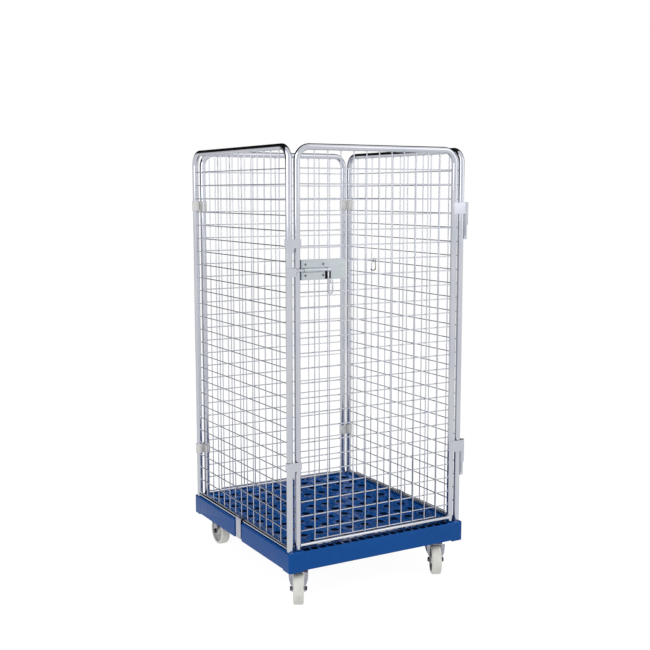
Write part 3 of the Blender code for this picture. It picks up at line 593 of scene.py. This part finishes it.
def cut_sockets(base):
    """Sockets for the posts, and the strap's recess in each side."""
    over = 0.25
    socket_r, socket_foot = TUBE_R + 0.0009, POST_FOOT_Z - 0.0004
    bm = bmesh.new()
    for sx in (-1, 1):
        for x, y in ((SIDE_X, -POST_Y), (SIDE_X, POST_Y), (DOOR_X, POST_Y)):
            lathe(bm, [(0.0, over), (socket_r, over), (socket_r, socket_foot), (0.0, socket_foot)],
                  Matrix.Translation((sx * x, y, 0.0)), 32)
    cut(base, bm)
    depth, half_l = 0.008, 0.030
    bm = bmesh.new()
    for sx in (-1, 1):
        x0, x1 = sorted((sx * (HALF_W - depth), sx * 0.40))
        block(bm, (x0, -half_l, CUT_Z), (x1, half_l, over))
    cut(base, bm)


def paint_base(base):
    """Give the deck's top a brighter blue as painted light, and the walls of its holes and the rest inside
    the rim darker blues as painted shade.
    """
    for key in ("inside", "deck", "hole"):
        base.data.materials.append(FINISH[key][0])
    for face in base.data.polygons:
        x, y, z = face.center
        if abs(x) < HALF_W - 0.009 and abs(y) < HALF_D - 0.0062:
            # painted light on the deck's top; painted shade on the hole walls and on the rest inside the rim
            if z > DECK_Z - 0.0002:
                face.material_index = 2
            elif z > DECK_Z - HOLE_DEPTH - 0.0005 and abs(face.normal.z) < 0.99:
                face.material_index = 3
            else:
                face.material_index = 1


# -------- panels
def u_path(place, half_span, foot_z):
    """Middle line of a panel's bent tube."""
    top = TOP_Z - TUBE_R
    path = [(-half_span, foot_z), (-half_span, (foot_z + top) / 2)]
    path += arc((-half_span + BEND_R, top - BEND_R), BEND_R, 180, 90, 14)
    path += arc((half_span - BEND_R, top - BEND_R), BEND_R, 90, 0, 14)
    path += [(half_span, (foot_z + top) / 2), (half_span, foot_z)]
    return [place(a, z) for a, z in path]


def build_frame(name, place, half_span, foot_z, bar_z):
    """A panel's bent tube and its bottom bar; place maps (along, height) to a point."""
    bm = bmesh.new()
    bar(bm, u_path(place, half_span, foot_z), TUBE_R, 32, 0.0015)
    make(name + "_frame_tube", bm, "zinc", name + "_frame")
    # bottom bar, flared into a weld bead where it meets each post
    bm = bmesh.new()
    end = half_span - TUBE_R
    spans = [(-end - 0.003, 0.0018), (-end + 0.0006, 0.0018), (-end + 0.0022, 0.0008), (-end + 0.0045, 0.0)]
    spans += [(-a, swell) for a, swell in reversed(spans)]
    sweep(bm, [place(a, bar_z) for a, swell in spans], [BAR_R + swell for a, swell in spans], 24)
    make(name + "_bottom_tube", bm, "zinc", name + "_bottom_bar")


def build_grid(name, place, half_span, uprights, levels, bottom_z, outer):
    """Welded wire grid; place maps (along, through, height) to a point, levels are the cross
    wires' heights, and outer is the direction through the panel in which the uprights lie."""
    bm = bmesh.new()
    end = half_span - TUBE_R
    top = TOP_Z - 2 * TUBE_R
    sink = 0.003
    nugget = Vector(place(0.0034, 0.0030, 0.0034)) - Vector(place(0.0, 0.0, 0.0))
    nugget = [abs(v) for v in nugget]
    through = -outer * WIRE_STEP
    for z in levels:
        bar(bm, [place(a, through, z) for a in (-end - sink, 0.0, end + sink)], WIRE_R, 10)
        for a in (-end, end):
            blob(bm, place(a, through, z), nugget)
    first, last = min(uprights), max(uprights)
    ends = (first - WIRE_R, last + WIRE_R)
    bar(bm, [place(a, through, bottom_z) for a in ends], WIRE_R, 10, WIRE_FILLET)
    through = outer * WIRE_STEP
    for a in uprights:
        over = max(0.0, abs(a) - (half_span - BEND_R))
        inner = BEND_R - TUBE_R
        reach = top if over == 0 else top - inner + sqrt(inner ** 2 - over ** 2)
        ends = (bottom_z - WIRE_R, reach + sink)
        bar(bm, [place(a, through, z) for z in ends], WIRE_R, 10, WIRE_FILLET)
        blob(bm, place(a, through, reach), nugget)
    make(name + "_wire_grid", bm, "zinc", name + "_mesh")


def build_panels():
    """The three fixed panels and the door, whose own grid has a slightly wider pitch."""
    lowest = WIRE_R + 0.0006
    bottom_z = PANEL_BAR_Z + BAR_R + lowest
    levels = [GRID_Z0 + GRID_PITCH * i for i in range(GRID_ROWS)]
    door_levels = [DOOR_GRID_Z0 + DOOR_GRID_PITCH * i for i in range(GRID_ROWS)]
    for side, x, outer in (("left_panel", -SIDE_X, 1), ("right_panel", SIDE_X, -1)):
        build_frame(side, lambda a, z: (x, a, z), POST_Y, POST_FOOT_Z, PANEL_BAR_Z)
        build_grid(side, lambda a, t, z: (x + t, a, z), POST_Y, SIDE_UPRIGHTS, levels, bottom_z, outer)
    build_frame("back_panel", lambda a, z: (a, POST_Y, z), DOOR_X, POST_FOOT_Z, PANEL_BAR_Z)
    build_grid("back_panel", lambda a, t, z: (a, POST_Y + t, z), DOOR_X, END_UPRIGHTS, levels,
               bottom_z, 1)
    build_frame("door", lambda a, z: (a, -POST_Y, z), DOOR_X, DOOR_FOOT_Z, DOOR_BAR_Z)
    build_grid("door", lambda a, t, z: (a, -POST_Y + t, z), DOOR_X, END_UPRIGHTS, door_levels,
               DOOR_BAR_Z + BAR_R + lowest + 0.0024, -1)


def build_straps():
    """Folded strap over each side bar, hanging in the recess of the skirt."""
    over = PANEL_BAR_Z + BAR_R + 0.0003
    face, back, tail, foot_z, half_l = 0.3608, 0.3588, 0.3545, 0.128, 0.020
    bend_r, edge = 0.0015, 0.0004
    for side, sx in (("left", -1), ("right", 1)):
        bm = bmesh.new()
        bend = [(face - bend_r + bend_r * cos(a), over + 0.0005 + bend_r * sin(a))
                for a in (0.0, pi / 4, pi / 2)]
        outline = [(back, foot_z), (face, foot_z)] + bend
        outline += [(tail, over + 0.002), (tail, over), (back, over)]
        slab(bm, [(sx * x, z) for x, z in outline], "y", -half_l, half_l)
        x0, x1 = sorted((sx * (face - edge), sx * 0.3552))
        for y0 in (-0.0196, 0.0176):
            block(bm, (x0, y0, foot_z + 0.0005), (x1, y0 + 0.0020, DECK_Z - 0.005))
        make(side + "_folded_strap", bm, "dull", side + "_tie_strap", bevel=0.0004, segments=2)


def build_corner_clips():
    """Two sleeves with a toothed join between them."""
    r, bore, soft = 0.0142, TUBE_R + 0.0003, 0.0018
    core_half_y, teeth_half_y = 0.0080, 0.0112
    teeth, gap, reach_over, root = 7, 0.0008, 0.0022, 0.0118
    middle = (SIDE_X + DOOR_X) / 2
    for side, sx in (("left", -1), ("right", 1)):
        for label in ("upper", "lower"):
            name = side + "_corner_clip_" + label
            lo, hi = cad(name)
            z0, z1 = lo.z, hi.z
            profile = [(bore, z1), (r - soft, z1)]
            profile += [(r - soft + soft * sin(a), z1 - soft + soft * cos(a))
                        for a in (0.5, 1.05, 1.571)]
            profile += [(r - soft + soft * cos(a), z0 + soft - soft * sin(a))
                        for a in (0.0, 0.5, 1.05)]
            profile += [(r - soft, z0), (bore, z0)]
            bm = bmesh.new()
            for x in (SIDE_X, DOOR_X):
                lathe(bm, profile, Matrix.Translation((sx * x, POST_Y, 0.0)), 40)
            make(name + "_sleeves", bm, "clip", name)
            # teeth from the two sleeves in turn, over a set-back core
            bm = bmesh.new()
            x0, x1 = sorted((sx * (DOOR_X + TUBE_R + 0.0008), sx * (SIDE_X - TUBE_R - 0.0008)))
            block(bm, (x0, POST_Y - core_half_y, z0 + 0.002), (x1, POST_Y + core_half_y, z1 - 0.002))
            step = (z1 - z0 - 0.002) / teeth
            for k in range(teeth):
                reach = reach_over if k % 2 else -reach_over
                low, high = z0 + 0.001 + k * step + gap / 2, z0 + 0.001 + (k + 1) * step - gap / 2
                for inner, outer in ((DOOR_X + root, middle + reach - gap / 2),
                                     (middle + reach + gap / 2, SIDE_X - root)):
                    x0, x1 = sorted((sx * inner, sx * outer))
                    if x1 - x0 >= 0.0004:
                        block(bm, (x0, POST_Y - teeth_half_y, low), (x1, POST_Y + teeth_half_y, high))
            make(name + "_teeth", bm, "clip", name, bevel=0.0003, segments=2)


# -------- door furniture
def build_hinges():
    """Leaf and rolled barrel on the door, pin and its strip on the right panel."""
    leaf_left, leaf_h, soft, clear = 0.3085, 0.041, 0.0008, PIN_R + 0.0004
    strip_left, strip_right = 0.3583, 0.3609
    for label in ("upper", "lower"):
        leaf, pin = "hinge_leaf_" + label, "hinge_pin_" + label
        leaf_lo, leaf_hi = cad(leaf)
        pin_lo, pin_hi = cad(pin)
        foot, top = leaf_lo.z, leaf_hi.z
        leaf_foot = top - leaf_h
        bm = bmesh.new()
        outline = [(leaf_left, SHEET_Y), (leaf_left, SHEET_Y - SHEET_T), (0.3555, SHEET_Y - SHEET_T),
                   (0.3592, SHEET_Y - 0.0010), (HINGE_X + 0.001, HINGE_Y - 0.0086),
                   (HINGE_X + 0.001, HINGE_Y - 0.0060), (0.3590, SHEET_Y + 0.0012), (0.3560, SHEET_Y)]
        slab(bm, outline, "z", leaf_foot, top - 0.0004)
        make("hinge_leaf_plate_" + label, bm, "zinc", leaf, bevel=0.0005)
        bm = bmesh.new()
        profile = [(clear, top), (BARREL_R - soft, top), (BARREL_R - 0.0002, top - 0.0003),
                   (BARREL_R, top - soft), (BARREL_R, foot + soft), (BARREL_R - 0.0002, foot + 0.0003),
                   (BARREL_R - soft, foot), (clear, foot)]
        lathe(bm, profile, Matrix.Translation((HINGE_X, HINGE_Y, 0.0)), 40)
        # rolled seam along the barrel
        block(bm, (HINGE_X - 0.0088, HINGE_Y - 0.0016, leaf_foot + 0.001),
              (HINGE_X - 0.0060, HINGE_Y + 0.0004, top - 0.002))
        make("hinge_barrel_" + label, bm, "zinc", leaf)
        bm = bmesh.new()
        bar(bm, [(HINGE_X, HINGE_Y, pin_lo.z), (HINGE_X, HINGE_Y, pin_hi.z)], PIN_R, 32, 0.0016)
        make("hinge_pin_rod_" + label, bm, "zinc", pin)
        bm = bmesh.new()
        block(bm, (strip_left, HINGE_Y - 0.007, pin_lo.z + 0.001),
              (strip_right, HINGE_Y + 0.007, leaf_foot - 0.001))
        block(bm, (strip_right - 0.001, HINGE_Y - 0.004, pin_lo.z + 0.002),
              (HINGE_X, HINGE_Y + 0.004, pin_lo.z + 0.012))
        make("hinge_strip_" + label, bm, "zinc", pin, bevel=0.0006)


def build_straddle_clips():
    """Sheet clip with a tapering tail on the door's free post, bent round the panel's post."""
    left, right, head_h, front = -0.3600, -0.3085, 0.030, SHEET_Y - SHEET_T
    lip, bend_r, lip_back = -0.3598, 0.0014, SHEET_Y + 0.016
    for label in ("upper", "lower"):
        name = "straddle_clip_" + label
        lo, hi = cad(name)
        tail, top = lo.z, hi.z
        bm = bmesh.new()
        outline = [(left, top), (right, top), (right, top - 0.026), (-0.3350, top - head_h), (-0.3385, tail),
                   (-0.3565, tail), (left, top - head_h)]
        slab(bm, outline, "y", front, SHEET_Y)
        bend = [(left, front)] + arc((left, SHEET_Y - 0.0006), bend_r, 270, 180, 4)
        bend += [(left - bend_r, lip_back), (lip, lip_back), (lip, SHEET_Y), (lip, SHEET_Y - 0.0004)]
        slab(bm, bend, "z", top - 0.0275, top - 0.0004)
        make(name + "_pressing", bm, "zinc", name, bevel=0.0004, segments=2)


def build_latch():
    build_latch_plate()
    build_latch_guide()
    build_rivets()
    bm = bmesh.new()
    bar(bm, [(bolt_lo.x, BOLT_Y, LATCH_Z), (bolt_hi.x, BOLT_Y, LATCH_Z)], BOLT_R, 32, 0.0014)
    make("latch_bolt_rod", bm, "zinc", "latch_bolt")
    build_handle()
    build_keeper()


def build_latch_plate():
    """Back plate with a folded left edge, stepped back on the right, and the handle's slot."""
    plate_lo, plate_hi = cad("latch_plate")
    left, right, step = -0.3061, -0.1370, 0.0015
    back = PLATE_Y + 0.002
    inner, fold_back = left + 0.0020, back + 0.0073
    slot_left, slot_right = HANDLE_X - 0.0083, HANDLE_X + 0.0137
    bm = bmesh.new()
    outline = [(left, fold_back), (left, PLATE_Y + 0.0012), (-0.3057, PLATE_Y + 0.0004), (-0.3049, PLATE_Y),
               (-0.1600, PLATE_Y), (-0.1560, PLATE_Y + step), (right, PLATE_Y + step), (right, back + step),
               (-0.1565, back + step), (-0.1605, back), (inner, back), (inner, fold_back)]
    slab(bm, outline, "z", plate_lo.z, plate_hi.z)
    plate = to_object("latch_plate_pressing", bm)
    bm = bmesh.new()
    block(bm, (slot_left, PLATE_Y - 0.01, LATCH_Z - 0.031), (slot_right, PLATE_Y + 0.01, LATCH_Z - 0.002))
    cut(plate, bm)
    piece(plate, "plate", ["latch_plate"], bevel=0.0004, segments=2)
    # dark sheet behind the handle's slot, painted near black as the slot's shadow
    bm = bmesh.new()
    block(bm, (slot_left - 0.0020, back + 0.0002, LATCH_Z - 0.0328),
          (slot_right + 0.0020, back + 0.0010, LATCH_Z - 0.0005))
    make("latch_slot_shadow_sheet", bm, "black", "latch_plate")


def build_latch_guide():
    """Guide pressed from sheet: two flat wings and a half-round channel over the bolt."""
    front = WING_Y - GUIDE_T
    inner_r = CHANNEL_R - GUIDE_T
    low, high = LATCH_Z - GUIDE_HALF_H, LATCH_Z + GUIDE_HALF_H
    bow = [radians(240 - 10 * k) for k in range(13)]
    over = [(front, low), (front, LATCH_Z - CHANNEL_R - 0.0012)]
    over += [(BOLT_Y + CHANNEL_R * cos(a), LATCH_Z + CHANNEL_R * sin(a)) for a in bow]
    over += [(front, LATCH_Z + CHANNEL_R + 0.0012), (front, high)]
    under = [(WING_Y, high), (WING_Y, LATCH_Z + CHANNEL_R - 0.0006)]
    under += [(BOLT_Y + inner_r * cos(a), LATCH_Z + inner_r * sin(a)) for a in reversed(bow)]
    under += [(WING_Y, LATCH_Z - CHANNEL_R + 0.0006), (WING_Y, low)]
    bm = bmesh.new()
    slab(bm, over + under, "x", GUIDE_LEFT, RIDGE_RIGHT + 0.0003)
    make("latch_guide_pressing", bm, "plate", "latch_guide", bevel=0.0003, segments=2)
    bm = bmesh.new()
    for z0, z1 in ((low, LATCH_Z - 0.0097), (LATCH_Z + 0.0097, high)):
        block(bm, (RIDGE_RIGHT, front, z0), (GUIDE_RIGHT, WING_Y, z1))
    make("latch_guide_wings", bm, "plate", "latch_guide", bevel=0.0003, segments=2)


def build_rivets():
    head_r, head_h, shank_r, shank_l = 0.0040, 0.0015, 0.0019, 0.0042
    dome = [(head_r * cos(a), head_h * sin(a))
            for a in turns(75, 55, 35, 15, 0)]
    profile = [(0.0, head_h)] + dome
    profile += [(0.0038, -0.0003), (shank_r, -0.0003), (shank_r, -shank_l), (0.0, -shank_l)]
    for number in range(1, 5):
        name = "latch_rivet_%d" % number
        lo, hi = cad(name)
        centre = ((lo.x + hi.x) / 2, WING_Y - GUIDE_T - 0.0003, (lo.z + hi.z) / 2)
        bm = bmesh.new()
        lathe(bm, profile, Matrix.Translation(centre) @ Matrix.Rotation(radians(90), 4, "X"), 24)
        make(name + "_head", bm, "rivet", name)


def build_handle():
    """Hub round the bolt, hanging loop of round wire and the small eye at its free end."""
    hub_r, soft_r, half_l, soft_l = 0.0074, 0.0068, 0.0050, 0.0044
    bm = bmesh.new()
    hub = Matrix.Translation((HANDLE_X, BOLT_Y, LATCH_Z)) @ Matrix.Rotation(radians(90), 4, "Y")
    lathe(bm, [(BOLT_R + 0.0003, half_l), (soft_r, half_l), (hub_r, soft_l), (hub_r, -soft_l),
               (soft_r, -half_l), (BOLT_R + 0.0003, -half_l)], hub, 40)
    turn_z, eye_z, free_x = LATCH_Z - LOOP_H, LATCH_Z - EYE_DROP, HANDLE_X + LOOP_W
    loop = [(HANDLE_X, LATCH_Z - 0.0060), (HANDLE_X, eye_z), (HANDLE_X, turn_z)]
    loop += arc((HANDLE_X + LOOP_W / 2, turn_z), LOOP_W / 2, 180, 360, 16)[1:]
    loop += [(free_x, LATCH_Z - 0.0600), (free_x, eye_z - 0.0050)]
    bar(bm, [(x, BOLT_Y, z) for x, z in loop], LOOP_R, 20, 0.0010)
    eye = arc((free_x - 0.0040, eye_z), EYE_R, 0, 360, 20)[:-1]
    sweep(bm, [(x, BOLT_Y, z) for x, z in eye], [EYE_WIRE_R] * len(eye), 12, close=True)
    make("latch_handle_loop", bm, "zinc", "latch_handle")


def build_keeper():
    """Bracket on the left panel's post, bored for the post and the bolt."""
    lo, hi = cad("latch_keeper")
    bm = bmesh.new()
    block(bm, lo, hi)
    keeper = to_object("latch_keeper_bracket", bm)
    bm = bmesh.new()
    bar(bm, [(-SIDE_X, -POST_Y, LATCH_Z - 0.05), (-SIDE_X, -POST_Y, LATCH_Z + 0.05)], TUBE_R + 0.0003, 40)
    cut(keeper, bm)
    bm = bmesh.new()
    bar(bm, [(lo.x + 0.003, BOLT_Y, LATCH_Z), (-0.3300, BOLT_Y, LATCH_Z)], BOLT_R + 0.0006, 32)
    cut(keeper, bm)
    piece(keeper, "zinc", ["latch_keeper"], bevel=0.0008)


def build_hook():
    """Hook of round wire: a narrow loop over a cross wire, a long shank and a turned-in tip."""
    lo, hi = cad("hold_open_hook")
    y = (lo.y + hi.y) / 2
    x = SIDE_X + 0.00215
    half_w, bend_r, wire_r = 0.0050, 0.0090, 0.0019
    shank_x, bend_z = x + 0.0062, HOOK_LEVEL - 0.0290
    path = [(x - half_w, HOOK_LEVEL - 0.0040)] + arc((x, HOOK_LEVEL + 0.0050), half_w, 180, 0, 16)
    path += [(x + half_w, HOOK_LEVEL - 0.0090), (x + 0.0056, HOOK_LEVEL - 0.0115),
             (shank_x, HOOK_LEVEL - 0.0140)]
    path += arc((shank_x - bend_r, bend_z), bend_r, 0, -110, 12)
    path += [(x - 0.0167, HOOK_LEVEL - 0.0336)]
    bm = bmesh.new()
    bar(bm, [(px, y, pz) for px, pz in path], wire_r, 14, 0.0008)
    make("hold_open_hook_wire", bm, "hook", "hold_open_hook")


# -------- castors
def build_wheel(prefix, place):
    """Wheel swept round its axle from hub, recessed web and tread; the web takes painted shade on the front
    wheels and painted light on the rear ones.
    """
    w, soft, web_depth = WHEEL_HALF_W, 0.0068, 0.0104
    web_start, web_end = 0.0160, 0.0425
    side = [(0.0062, 0.0183), (0.0140, 0.0183), (0.0148, 0.0179), (0.0152, 0.0170), (0.0168, 0.0112),
            (0.0180, web_depth), (0.0400, web_depth), (0.0415, 0.0112), (0.0432, w - 0.0012),
            (0.0440, w - 0.0002), (0.0448, w)]
    side += [(WHEEL_R - soft + soft * sin(a), w - soft + soft * cos(a))
             for a in turns(0, 18, 36, 54, 72, 90)]
    bm = bmesh.new()
    lathe(bm, side + [(r, -h) for r, h in reversed(side)], place, 72)
    wheel = to_object(prefix + "_wheel_tyre", bm)
    piece(wheel, "nylon", [prefix + "_wheel"])
    # the web's finish: painted shade on front wheels, painted light on rear wheels
    wheel.data.materials.append(FINISH[prefix.split("_")[0] + "_web"][0])
    for face in wheel.data.polygons:
        away = place.inverted() @ face.center
        if web_start < hypot(away.x, away.y) < web_end:
            face.material_index = 1


def hexagon(bm, r, z0, z1, place):
    """Hexagonal head with its corners taken off at the outer face z1."""
    rings = []
    for q, z in ((r, z0), (r, z1 - (z1 - z0) * 0.16), (r * 0.90, z1)):
        corners = [(cos(pi * k / 3) * q, sin(pi * k / 3) * q) for k in range(6)]
        rings.append([bm.verts.new(place @ Vector((*p, z))) for p in corners])
    skin(bm, rings)


def build_axle(prefix, place):
    """Bolt with its head on one side and its nut on the other, each over a washer."""
    washer, face = 0.0236, 0.0250
    screw, nut = bmesh.new(), bmesh.new()
    bar(screw, [place @ Vector((0, 0, -0.0255)), place @ Vector((0, 0, 0.0300))], AXLE_R, 28, 0.0010)
    for bm, side, head_r, head_z, washer_r in ((screw, -1, 0.0085, 0.0292, 0.0095),
                                               (nut, 1, 0.0088, 0.0290, 0.0098)):
        hexagon(bm, head_r, side * face, side * head_z, place)
        lathe(bm, [(AXLE_R, side * washer), (washer_r, side * washer), (washer_r, side * face),
                   (AXLE_R, side * face)], place, 32)
    make(prefix + "_axle_screw", screw, "dark", prefix + "_axle_bolt")
    make(prefix + "_axle_hexnut", nut, "dark", prefix + "_axle_nut")


def fork_legs(bm, front_head, y, back, place):
    """Two pressed legs with a round foot about the axle at y, stiffened by a flange up their
    front and back edges; back lists the points of the back edge, from the lowest up."""
    knee_z = WHEEL_R - 0.002
    lift = 0.0003
    front_foot, back_foot = (y - LEG_HALF_W, knee_z), (y + LEG_HALF_W, knee_z)
    foot = arc((y, WHEEL_R), LEG_HALF_W, 189.2, 350.8, 14)
    outline = [front_head, front_foot] + foot[1:-1] + [back_foot] + back
    for side in (-1, 1):
        across = side * LEG_X
        slab(bm, outline, "x", across - LEG_T / 2, across + LEG_T / 2, place)
        for low, head, inward in ((front_foot, front_head, 1), (back_foot, back[0], -1)):
            run_y, run_z = head[0] - low[0], head[1] - low[1]
            length = hypot(run_y, run_z) - 0.001
            lean = Matrix.Rotation(-atan2(run_y, run_z), 4, "X")
            bow = [(across + side * FLANGE_W * sin(a), length / 4 + 0.75 * length * (1 - cos(a)))
                   for a in turns(*range(0, 91, 15))]
            lo, hi = sorted((inward * lift, inward * (lift + FLANGE_T)))
            at_foot = place @ Matrix.Translation((0.0, *low)) @ lean
            slab(bm, bow + [(across, length)], "y", lo, hi, at_foot)


def build_plate(name, node, x, y):
    """Top plate of a castor, against the base's pad."""
    bm = bmesh.new()
    top = PAD_Z - 0.0003
    block(bm, (x - PLATE_HALF_W, y - PLATE_HALF_D, top - PLATE_T), (x + PLATE_HALF_W, y + PLATE_HALF_D, top))
    make(name, bm, "dull", node, bevel=0.0010)


def build_swivel_castor(side, x):
    """Front castor: plate, kingpin and a trailing fork turned by TURN about the kingpin."""
    prefix = "front_" + side
    up = Matrix.Translation((x, SWIVEL_Y, 0.0))
    place = up @ Matrix.Rotation(-TURN, 4, "Z")
    along_axle = place @ Matrix.Translation((0, -TRAIL, WHEEL_R)) @ Matrix.Rotation(radians(90), 4, "Y")
    build_wheel(prefix, along_axle)
    build_axle(prefix, along_axle)
    build_plate(prefix + "_top_plate", prefix + "_castor_plate", x, SWIVEL_Y)
    crown_foot = CROWN_Z - CROWN_T
    stem_r, stem_top, stem_foot = 0.006, PAD_Z - 0.0005, 0.1100
    bm = bmesh.new()
    hexagon(bm, 0.0100, crown_foot - 0.0007, crown_foot - 0.0072, up)
    lathe(bm, [(0.0, stem_top), (stem_r, stem_top), (stem_r, stem_foot), (0.0, stem_foot)], up, 24)
    make(prefix + "_kingpin_bolt", bm, "dark", prefix + "_kingpin")
    # swivel head: two dished races with a dark seam between them
    bm = bmesh.new()
    races = [(0.0064, 0.1364), (0.0240, 0.1364), (0.0262, 0.1356), (0.0268, 0.1340), (0.0268, 0.1290),
             (0.0240, 0.1278), (0.0240, 0.1266), (0.0285, 0.1258), (0.0300, 0.1235), (0.0300, 0.1150),
             (0.0285, 0.1120), (0.0064, 0.1112)]
    lathe(bm, races, up, 48)
    front, back = -TRAIL - 0.005, 0.022
    crown = rounded_outline(LEG_X + 0.0013, (back - front) / 2, 0.004, 4)
    slab(bm, [(px, py + (back + front) / 2) for px, py in crown], "z", crown_foot, CROWN_Z, place)
    leg_top = CROWN_Z - 0.0003
    fork_legs(bm, (front, leg_top), -TRAIL, [(back - 0.004, 0.098), (back, leg_top)], place)
    make(prefix + "_fork_pressing", bm, "fork", prefix + "_fork", bevel=0.0006, segments=2)


def build_fixed_castor(side, x):
    """Rear castor: its two legs go straight up to the plate."""
    prefix = "rear_" + side
    place = Matrix.Translation((x, FIXED_Y, 0.0))
    along_axle = place @ Matrix.Translation((0, 0, WHEEL_R)) @ Matrix.Rotation(radians(90), 4, "Y")
    build_wheel(prefix, along_axle)
    build_axle(prefix, along_axle)
    build_plate(prefix + "_fork_plate", prefix + "_fork", x, FIXED_Y)
    bm = bmesh.new()
    half, leg_top = 0.034, PAD_Z - 0.001
    fork_legs(bm, (-half, leg_top), 0.0, [(half, leg_top)], place)
    make(prefix + "_fork_pressing", bm, "fork", prefix + "_fork", bevel=0.0006, segments=2)


# -------- stage, lights and camera
def build_stage():
    """White floor that glows by itself. Metal mirrors it a little dimmer than the camera sees it,
    and it lights the object more dimly still."""
    seen, glossy, diffuse = 0.97, 0.88, 0.68
    bm = bmesh.new()
    bmesh.ops.create_grid(bm, x_segments=1, y_segments=1, size=5.0)
    floor = to_object("studio_floor", bm)
    floor.location = (0.0, 0.0, 0.0)
    n = Nodes("studio_floor")
    cloud = n.noise(0.6, 2.0)
    tone = n.ramp(cloud, (0.3, (0.11, 0.11, 0.11)), (0.7, (0.12, 0.12, 0.12)))
    glow = n.ramp(cloud, (0.3, (0.98, 0.98, 0.98)), (0.7, (0.99, 0.99, 0.99)))
    n.link(glow, n.shader.inputs["Emission Color"])
    rays = n.add("LightPath")
    shining = n.add("MapRange")
    shining.inputs["To Max"].default_value = seen
    n.link(rays.outputs["Is Camera Ray"], shining.inputs["Value"])
    n.link(n.span(rays.outputs["Is Glossy Ray"], diffuse, glossy, 0.0, 1.0), shining.inputs["To Min"])
    n.link(shining.outputs["Result"], n.shader.inputs["Emission Strength"])
    n.finish(tone, n.span(n.noise(2.0), 0.85, 0.95), Specular_IOR_Level=0.0)
    floor.data.materials.append(n.material)


def build_world():
    """White studio. Reflections see a dark flag high behind the object and a grey wall below it;
    the camera sees plain white."""
    world = bpy.data.worlds.new("studio")
    bpy.context.scene.world = world
    world.use_nodes = True
    tree = world.node_tree
    tree.nodes.clear()
    link = tree.links.new
    axes = tree.nodes.new("ShaderNodeSeparateXYZ")
    link(tree.nodes.new("ShaderNodeTexCoord").outputs["Generated"], axes.inputs[0])

    def rise(output, start, end):
        made = tree.nodes.new("ShaderNodeMapRange")
        made.interpolation_type = "SMOOTHSTEP"
        made.inputs["From Min"].default_value = start
        made.inputs["From Max"].default_value = end
        link(output, made.inputs["Value"])
        return made.outputs["Result"]

    def times(a, b):
        made = tree.nodes.new("ShaderNodeMath")
        made.operation = "MULTIPLY"
        link(a, made.inputs[0])
        link(b, made.inputs[1])
        return made.outputs[0]

    def towards(fac, start, value):
        made = tree.nodes.new("ShaderNodeMix")
        link(fac, made.inputs[0])
        if isinstance(start, float):
            made.inputs[2].default_value = start
        else:
            link(start, made.inputs[2])
        made.inputs[3].default_value = value
        return made.outputs[0]

    white, grey, black = 1.0, 0.14, 0.010
    wall = rise(axes.outputs["Y"], 0.88, 0.96)
    flag = times(rise(axes.outputs["Y"], 0.04, 0.14), rise(axes.outputs["Z"], 0.0, 0.06))
    level = towards(flag, towards(wall, white, grey), black)
    reflected = tree.nodes.new("ShaderNodeBackground")
    link(level, reflected.inputs["Color"])
    seen = tree.nodes.new("ShaderNodeBackground")
    seen.inputs["Color"].default_value = (1.0, 1.0, 1.0, 1.0)
    mix = tree.nodes.new("ShaderNodeMixShader")
    link(tree.nodes.new("ShaderNodeLightPath").outputs["Is Camera Ray"], mix.inputs["Fac"])
    link(reflected.outputs["Background"], mix.inputs[1])
    link(seen.outputs["Background"], mix.inputs[2])
    link(mix.outputs["Shader"], tree.nodes.new("ShaderNodeOutputWorld").inputs["Surface"])


def add_light(name, location, aim, size, power):
    """Square area light that faces aim; both points are about ORIGIN."""
    data = bpy.data.lights.new(name, "AREA")
    data.shape = "RECTANGLE"
    data.size = data.size_y = size
    data.energy = power
    light = bpy.data.objects.new(name, data)
    bpy.context.scene.collection.objects.link(light)
    light.location = ORIGIN + Vector(location)
    light.rotation_mode = "QUATERNION"
    light.rotation_quaternion = (Vector(aim) - Vector(location)).to_track_quat("-Z", "Y")


def build_camera():
    """The photo's viewing angle, as fitted to its points; heading is from +Y towards +X."""
    heading, dip = radians(29.83), radians(7.23)
    look = Vector((sin(heading) * cos(dip), cos(heading) * cos(dip), -sin(dip)))
    data = bpy.data.cameras.new("camera")
    data.lens = 57.6
    data.sensor_width = 36.0
    camera = bpy.data.objects.new("camera", data)
    bpy.context.scene.collection.objects.link(camera)
    camera.location = ORIGIN + Vector((-1.9319, -3.3846, 1.394))
    camera.rotation_mode = "QUATERNION"
    camera.rotation_quaternion = look.to_track_quat("-Z", "Y")
    bpy.context.scene.camera = camera


build_base()
build_panels()
build_straps()
build_corner_clips()
build_hinges()
build_straddle_clips()
build_latch()
build_hook()
for side_name, castor_x in (("left", -CASTOR_X), ("right", CASTOR_X)):
    build_swivel_castor(side_name, castor_x)
    build_fixed_castor(side_name, castor_x)
build_stage()
build_world()
add_light("key_left", (-3.6, -1.2, 2.6), (0.0, 0.0, 0.4), 3.0, 66.0)
add_light("fill_right", (3.0, -3.0, 2.6), (0.0, 0.0, 0.5), 3.0, 20.0)
build_camera()
bpy.context.scene.view_settings.view_transform = "Standard"
